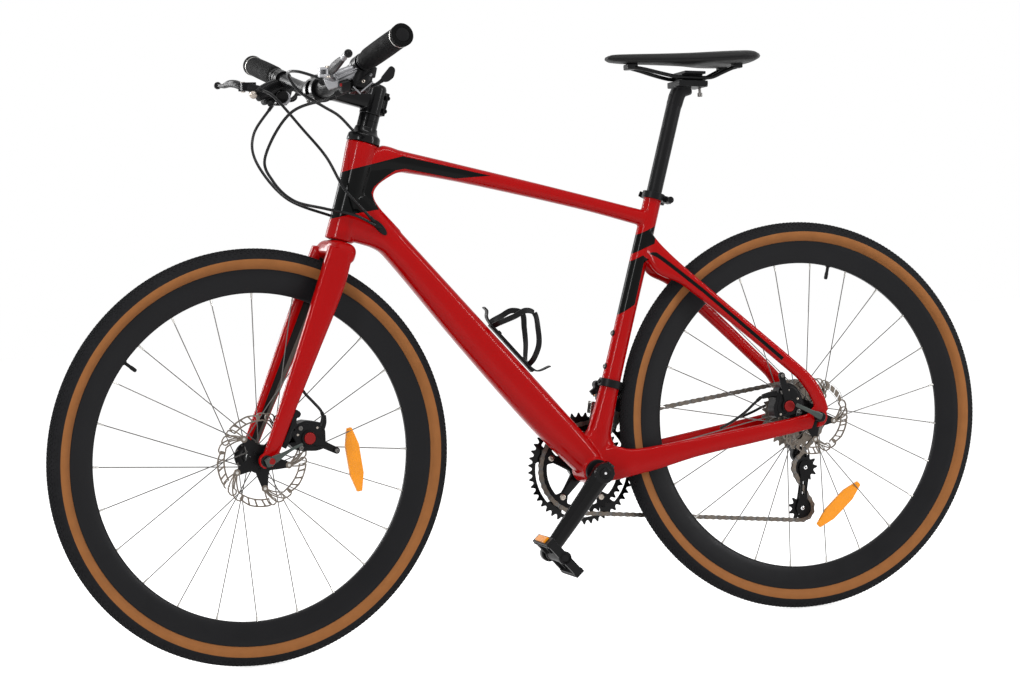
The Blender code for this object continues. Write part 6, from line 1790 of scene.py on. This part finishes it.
def build_valves():
    profile = [(0, 0.0046), (0.0036, 0.0046), (0.0042, 0.004), (0.0044, 0.0029), (0.015, 0.0029),
               (0.0152, 0.0034), (0.024, 0.0034), (0.0262, 0.0028), (0.0268, 0.0018)]
    for prefix, centre, angle in (("front", FRONT_AXLE, 140.8), ("rear", REAR_AXLE, 75.3)):
        inward = -ray(radians(angle))
        stem = turned(profile, centre - inward * 0.279, inward, 24)
        piece_of(prefix + "_valve", [stem], [BLACK_METAL], prefix + "_wheel")


def build_frame_trim():
    for name, side in SIDES:
        top = Vector((-0.2822, side * 0.0232, 0.7392))
        low = Vector((-0.2605, side * 0.024, 0.7132))
        along = (low - top).normalized()
        square = square_to(along)
        rings = []
        for out, grow in ((0.0, 1.0), (0.0018, 1.0), (0.0028, 0.92), (0.003, 0.6)):
            centre = (top + low) / 2 + Y * side * out
            rings.append(oval(centre, along * 0.017 * grow, square * 0.0062 * grow))
        piece_of(name + "_cable_port", [skin(rings)], [PLASTIC], "frame")
    bosses = []
    washer = [(-0.002, 0.0058), (0.0012, 0.0058), (0.0016, 0.005)]
    for height in (0.5165, 0.4588):
        spot = seat_point(height) - SEAT_BACK * 0.016
        bosses.append(turned(washer, spot, -SEAT_BACK, 24, slot=1))
        bosses.append(screw(spot - SEAT_BACK * 0.0012, -SEAT_BACK, 0.0042))
    piece_of("bottle_bosses", bosses, [DARK_STEEL, BLACK_METAL], "frame")


def build_seat_collar():
    middle = seat_point(SEAT_TUBE_TOP - 0.006)
    shapes = [hollow(banded(-0.0055, 0.0065, 0.0164, 0.02, 0.0004, 0.0004), middle, SEAT_AXIS, 64)]
    for side in (-0.0046, 0.0046):
        ear = middle + Y * side
        shapes.append(bar_between(ear + SEAT_BACK * 0.018, ear + SEAT_BACK * 0.033, 0.0068, 0.0115))
    piece_of("seat_collar_ring", shapes, [BLACK_METAL], "frame", ("seat_collar",), bevel=0.0006)
    skewer = middle + SEAT_BACK * 0.0272
    piece_of("seat_collar_skewer", [
        rod(skewer - Y * 0.0185, skewer + Y * 0.0195, 0.0026, 20),
        turned([(-0.019, 0.0016), (-0.019, 0.0048), (-0.018, 0.006), (-0.009, 0.006), (-0.0082, 0.0052)],
               skewer, Y, 20, slot=1),
    ], [DARK_STEEL, BLACK_METAL], "frame")
    pivot = skewer + Y * 0.0262
    cam = turned([(-0.007, 0.0054), (-0.006, 0.0062), (0.006, 0.0062), (0.007, 0.0054)], pivot, SEAT_AXIS, 32)
    lever = sweep([
        pivot, pivot - SEAT_BACK * 0.012 + Y * 0.001, pivot - SEAT_BACK * 0.03 - Y * 0.0012,
        pivot - SEAT_BACK * 0.0445 - Y * 0.001 + SEAT_AXIS * 0.002,
    ], [(0.006, 0.0024), (0.0055, 0.0018), (0.0056, 0.0016), (0.005, 0.0014)], 24, 3.0, dome=0.0006)
    piece_of("seat_quick_release", [cam, lever], [BLACK_METAL], "seat_clamp_lever", ("seat_clamp_lever",))


def build_bottle_cage():
    along = Vector((0.6497, 0, -0.7602))
    out = Vector((0.7602, 0, 0.6497))
    base = Vector((-0.079, 0, 0.5475)) + out * 0.0012

    def ribbon(points, size, squareness=4.0, side=Y):
        """A strip through points given as (down the tube, out from it, sideways)."""
        route = [base + along * a + out * b + Y * c for a, b, c in points]
        return sweep(route, size, 20, squareness, side=side)

    shapes = [
        ribbon([(0.0, 0.0015, 0), (0.05, 0.0015, 0), (0.112, 0.0015, 0)], (0.0028, 0.009)),
        ribbon([(0.004, 0.002, 0), (-0.014, 0.006, 0), (-0.022, 0.014, 0), (-0.03, 0.014, 0)],
               (0.0014, 0.008)),
        ribbon([(0.098, 0.002, 0), (0.118, 0.008, 0), (0.128, 0.03, 0)], (0.0014, 0.0085)),
    ]
    for side in (-1, 1):
        shapes.append(ribbon([
            (0.004, 0.003, side * 0.006), (0.004, 0.012, side * 0.028), (0.012, 0.036, side * 0.0385),
            (0.018, 0.056, side * 0.0385), (0.034, 0.066, side * 0.034), (0.056, 0.052, side * 0.0375),
            (0.078, 0.034, side * 0.036), (0.092, 0.014, side * 0.024), (0.098, 0.003, side * 0.006),
        ], (0.0016, 0.005), 3.0, along))
    for step in (0.022, 0.086):
        shapes.append(screw(base + along * step + out * 0.004, out, 0.0042))
    piece_of("bottle_cage_ribbons", shapes, [PLASTIC], "frame", ("bottle_cage",))


# Saddle

def build_seatpost():
    head = Vector((0.32, 0, 0.956))
    top = seat_point(0.936)
    tilt = Matrix.Rotation(radians(3), 3, "Y")
    post = rod(seat_point(0.62), top, 0.0136, 48)
    neck = sweep([seat_point(0.92), top + Vector((0.006, 0, 0.008)), head + Vector((-0.004, 0, -0.004))],
                 [(0.0135, 0.0136), (0.0138, 0.015), (0.015, 0.016)], 36, 2.6)
    body = welded("seatpost_tube", [
        post, neck, block(head - X * 0.003, (0.055, 0.058, 0.011), tilt),
    ], 0.0012, 5)
    place(body, [SATIN_METAL], "seat", ("seatpost",), angle=45)
    clamp = [
        block(head + Vector((0.0005, 0, 0.012)), (0.04, 0.032, 0.02), tilt),
        block(head + Vector((0.001, 0, 0.0195)), (0.04, 0.06, 0.005), tilt),
    ]
    piece_of("saddle_clamp", clamp, [BLACK_METAL], "seat", bevel=0.0012)
    bolts = []
    for shift in (-0.025, 0.02):
        bolts.append(turned([(-0.022, 0.0036), (-0.0212, 0.0044), (-0.015, 0.0044), (-0.0148, 0.0026),
                             (0.002, 0.0026)], head + X * shift, Z, 24))
    piece_of("saddle_clamp_bolts", bolts, [DARK_STEEL], "seat")


def build_saddle():
    stations = refine([
        (0.1662, 0.011, 1.009, 1.002), (0.173, 0.017, 1.0115, 0.999), (0.2, 0.0205, 1.0123, 0.996),
        (0.26, 0.0245, 1.0121, 0.993), (0.315, 0.037, 1.0119, 0.9905), (0.355, 0.058, 1.0121, 0.988),
        (0.392, 0.071, 1.0123, 0.9875), (0.423, 0.068, 1.0119, 0.989), (0.44, 0.046, 1.0085, 0.995),
    ], 0.005, 1)
    rings, seam = [], []
    for x, half_width, top, bottom in stations:
        ring = []
        split = bottom + (top - bottom) * 0.42
        for i in range(56):
            angle = 2 * pi * i / 56
            c, s = cos(angle), sin(angle)
            side = abs(s) ** (2 / 2.9) * (1 if s >= 0 else -1)
            if c >= 0:
                groove = 0.0016 * max(0.0, 1 - (side * half_width / 0.01) ** 2) if 0.21 < x < 0.4 else 0.0
                z = split + (top - split) * abs(c) ** (2 / 2.6) - groove
            else:
                z = split - (split - bottom) * abs(c) ** (2 / 3.4)
            ring.append(Vector((x, side * half_width, z)))
        rings.append(ring)
        seam.append((x, half_width, split))
    cover = piece_of("saddle_pad", [skin(domed(rings, 0.002))], [SADDLE], "seat", ("saddle",))
    lines = []
    for side in (-1, 1):
        route = [Vector((x, side * (wide + 0.0002), z - 0.0004)) for x, wide, z in seam]
        lines.append(tube(route, 0.0008, 8))
    piece_of("saddle_edge_seam", lines, [PLASTIC], "seat")

    half = [
        (0.21, 0.0, 0.988), (0.214, 0.009, 0.988), (0.232, 0.014, 0.984), (0.26, 0.019, 0.976),
        (0.288, 0.022, 0.969), (0.305, 0.022, 0.9676), (0.338, 0.022, 0.966), (0.356, 0.0228, 0.9668),
        (0.374, 0.026, 0.974), (0.39, 0.031, 0.9805), (0.4, 0.033, 0.983),
    ]
    route = [Vector((x, -y, z)) for x, y, z in reversed(half[1:])] + [Vector(point) for point in half]
    rails = tube(smooth_route(route, 0.003), 0.0035, 20)
    piece_of("saddle_rail_rod", [rails], [GLOSS_METAL], "seat", ("saddle_rails",))
    shell = [
        block((0.21, 0, 0.99), (0.02, 0.024, 0.01)),
        block((0.4, 0.033, 0.986), (0.018, 0.014, 0.011)),
        block((0.4, -0.033, 0.986), (0.018, 0.014, 0.011)),
    ]
    piece_of("saddle_rail_sockets", shell, [PLASTIC], "seat", bevel=0.002)


# Camera, light, floor

def seen_directly(tree):
    """A value of 1 for what the camera sees, also mirrored or through glass, and 0 for what only lights."""
    rays = tree.nodes.new("ShaderNodeLightPath")
    seen = rays.outputs["Is Camera Ray"]
    for output in ("Is Glossy Ray", "Is Transmission Ray"):
        both = tree.nodes.new("ShaderNodeMath")
        both.operation = "MAXIMUM"
        tree.links.new(seen, both.inputs[0])
        tree.links.new(rays.outputs[output], both.inputs[1])
        seen = both.outputs[0]
    return seen


def build_stage():
    yaw, pitch, roll = radians(18.06), radians(1.7), radians(-3.08)
    ahead = Vector((sin(yaw) * cos(pitch), cos(yaw) * cos(pitch), -sin(pitch)))
    right = Vector((cos(yaw), -sin(yaw), 0))
    up = right.cross(ahead)
    tilted_right = right * cos(roll) + up * sin(roll)
    tilted_up = up * cos(roll) - right * sin(roll)
    camera = object_of("camera", bpy.data.cameras.new("camera"))
    camera.data.sensor_width = 36
    camera.data.lens = 77.56
    turn = Matrix((tilted_right, tilted_up, -ahead)).transposed()
    camera.matrix_world = Matrix.Translation((-1.22866, -3.63941, 0.63429)) @ turn.to_4x4()
    bpy.context.scene.camera = camera

    for name, spot, target, size, power in (
        ("key", (-3.0, -2.6, 1.7), (-0.1, 0, 0.6), (0.34, 2.2), 66),
        ("fill", (2.7, -1.9, 1.5), (0.1, 0, 0.6), (0.34, 2.0), 40),
        ("top", (0.0, -1.4, 3.4), (0, 0, 0.5), (2.8, 0.4), 44),
        ("back", (-2.0, 2.8, 1.6), (0, 0, 0.6), (0.4, 2.0), 44),
    ):
        lamp = bpy.data.lights.new(name, "AREA")
        lamp.shape = "RECTANGLE"
        lamp.size, lamp.size_y = size
        lamp.energy = power
        made = object_of(name, lamp)
        made.location = spot
        made.rotation_mode = "QUATERNION"
        made.rotation_quaternion = (Vector(target) - Vector(spot)).to_track_quat("-Z", "Y")

    world = bpy.data.worlds.new("studio")
    bpy.context.scene.world = world
    world.use_nodes = True
    nodes, links = world.node_tree.nodes, world.node_tree.links
    back = preset(nodes["Background"], Color=(1, 1, 1, 1))
    level = preset(nodes.new("ShaderNodeMapRange"), To_Min=0.4, To_Max=1.0)
    links.new(seen_directly(world.node_tree), level.inputs["Value"])
    links.new(level.outputs["Result"], back.inputs["Strength"])

    floor = object_of("floor", mesh_of([block((0, 0, -0.006), (40, 40, 0.01))]))
    material = bpy.data.materials.new("floor")
    material.use_nodes = True
    nodes, links = material.node_tree.nodes, material.node_tree.links
    shader = preset(nodes["Principled BSDF"], Base_Color=(0.8, 0.8, 0.8, 1), Roughness=0.9,
                    Specular_IOR_Level=0.0, Emission_Color=(1, 1, 1, 1))
    lift = nodes.new("ShaderNodeMath")
    lift.operation = "MULTIPLY"
    lift.inputs[1].default_value = 0.78
    links.new(seen_directly(material.node_tree), lift.inputs[0])
    links.new(lift.outputs[0], shader.inputs["Emission Strength"])
    floor.data.materials.append(material)


build_stage()
build_frame()
build_fork()
build_wheels()
build_headset()
build_stem()
build_handlebar()
build_controls()
build_cables()
build_cassette()
build_chainrings()
build_cranks()
build_pedals()
build_chain()
build_rear_derailleur()
build_front_derailleur()
build_brakes()
build_axles()
build_valves()
build_frame_trim()
build_seat_collar()
build_bottle_cage()
build_seatpost()
build_saddle()

for name in ("upper_headset_bearing", "lower_headset_bearing"):
    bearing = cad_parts[name].data
    bearing.materials.clear()
    bearing.materials.append(DARK_STEEL)

bpy.context.scene.view_settings.view_transform = "Standard"
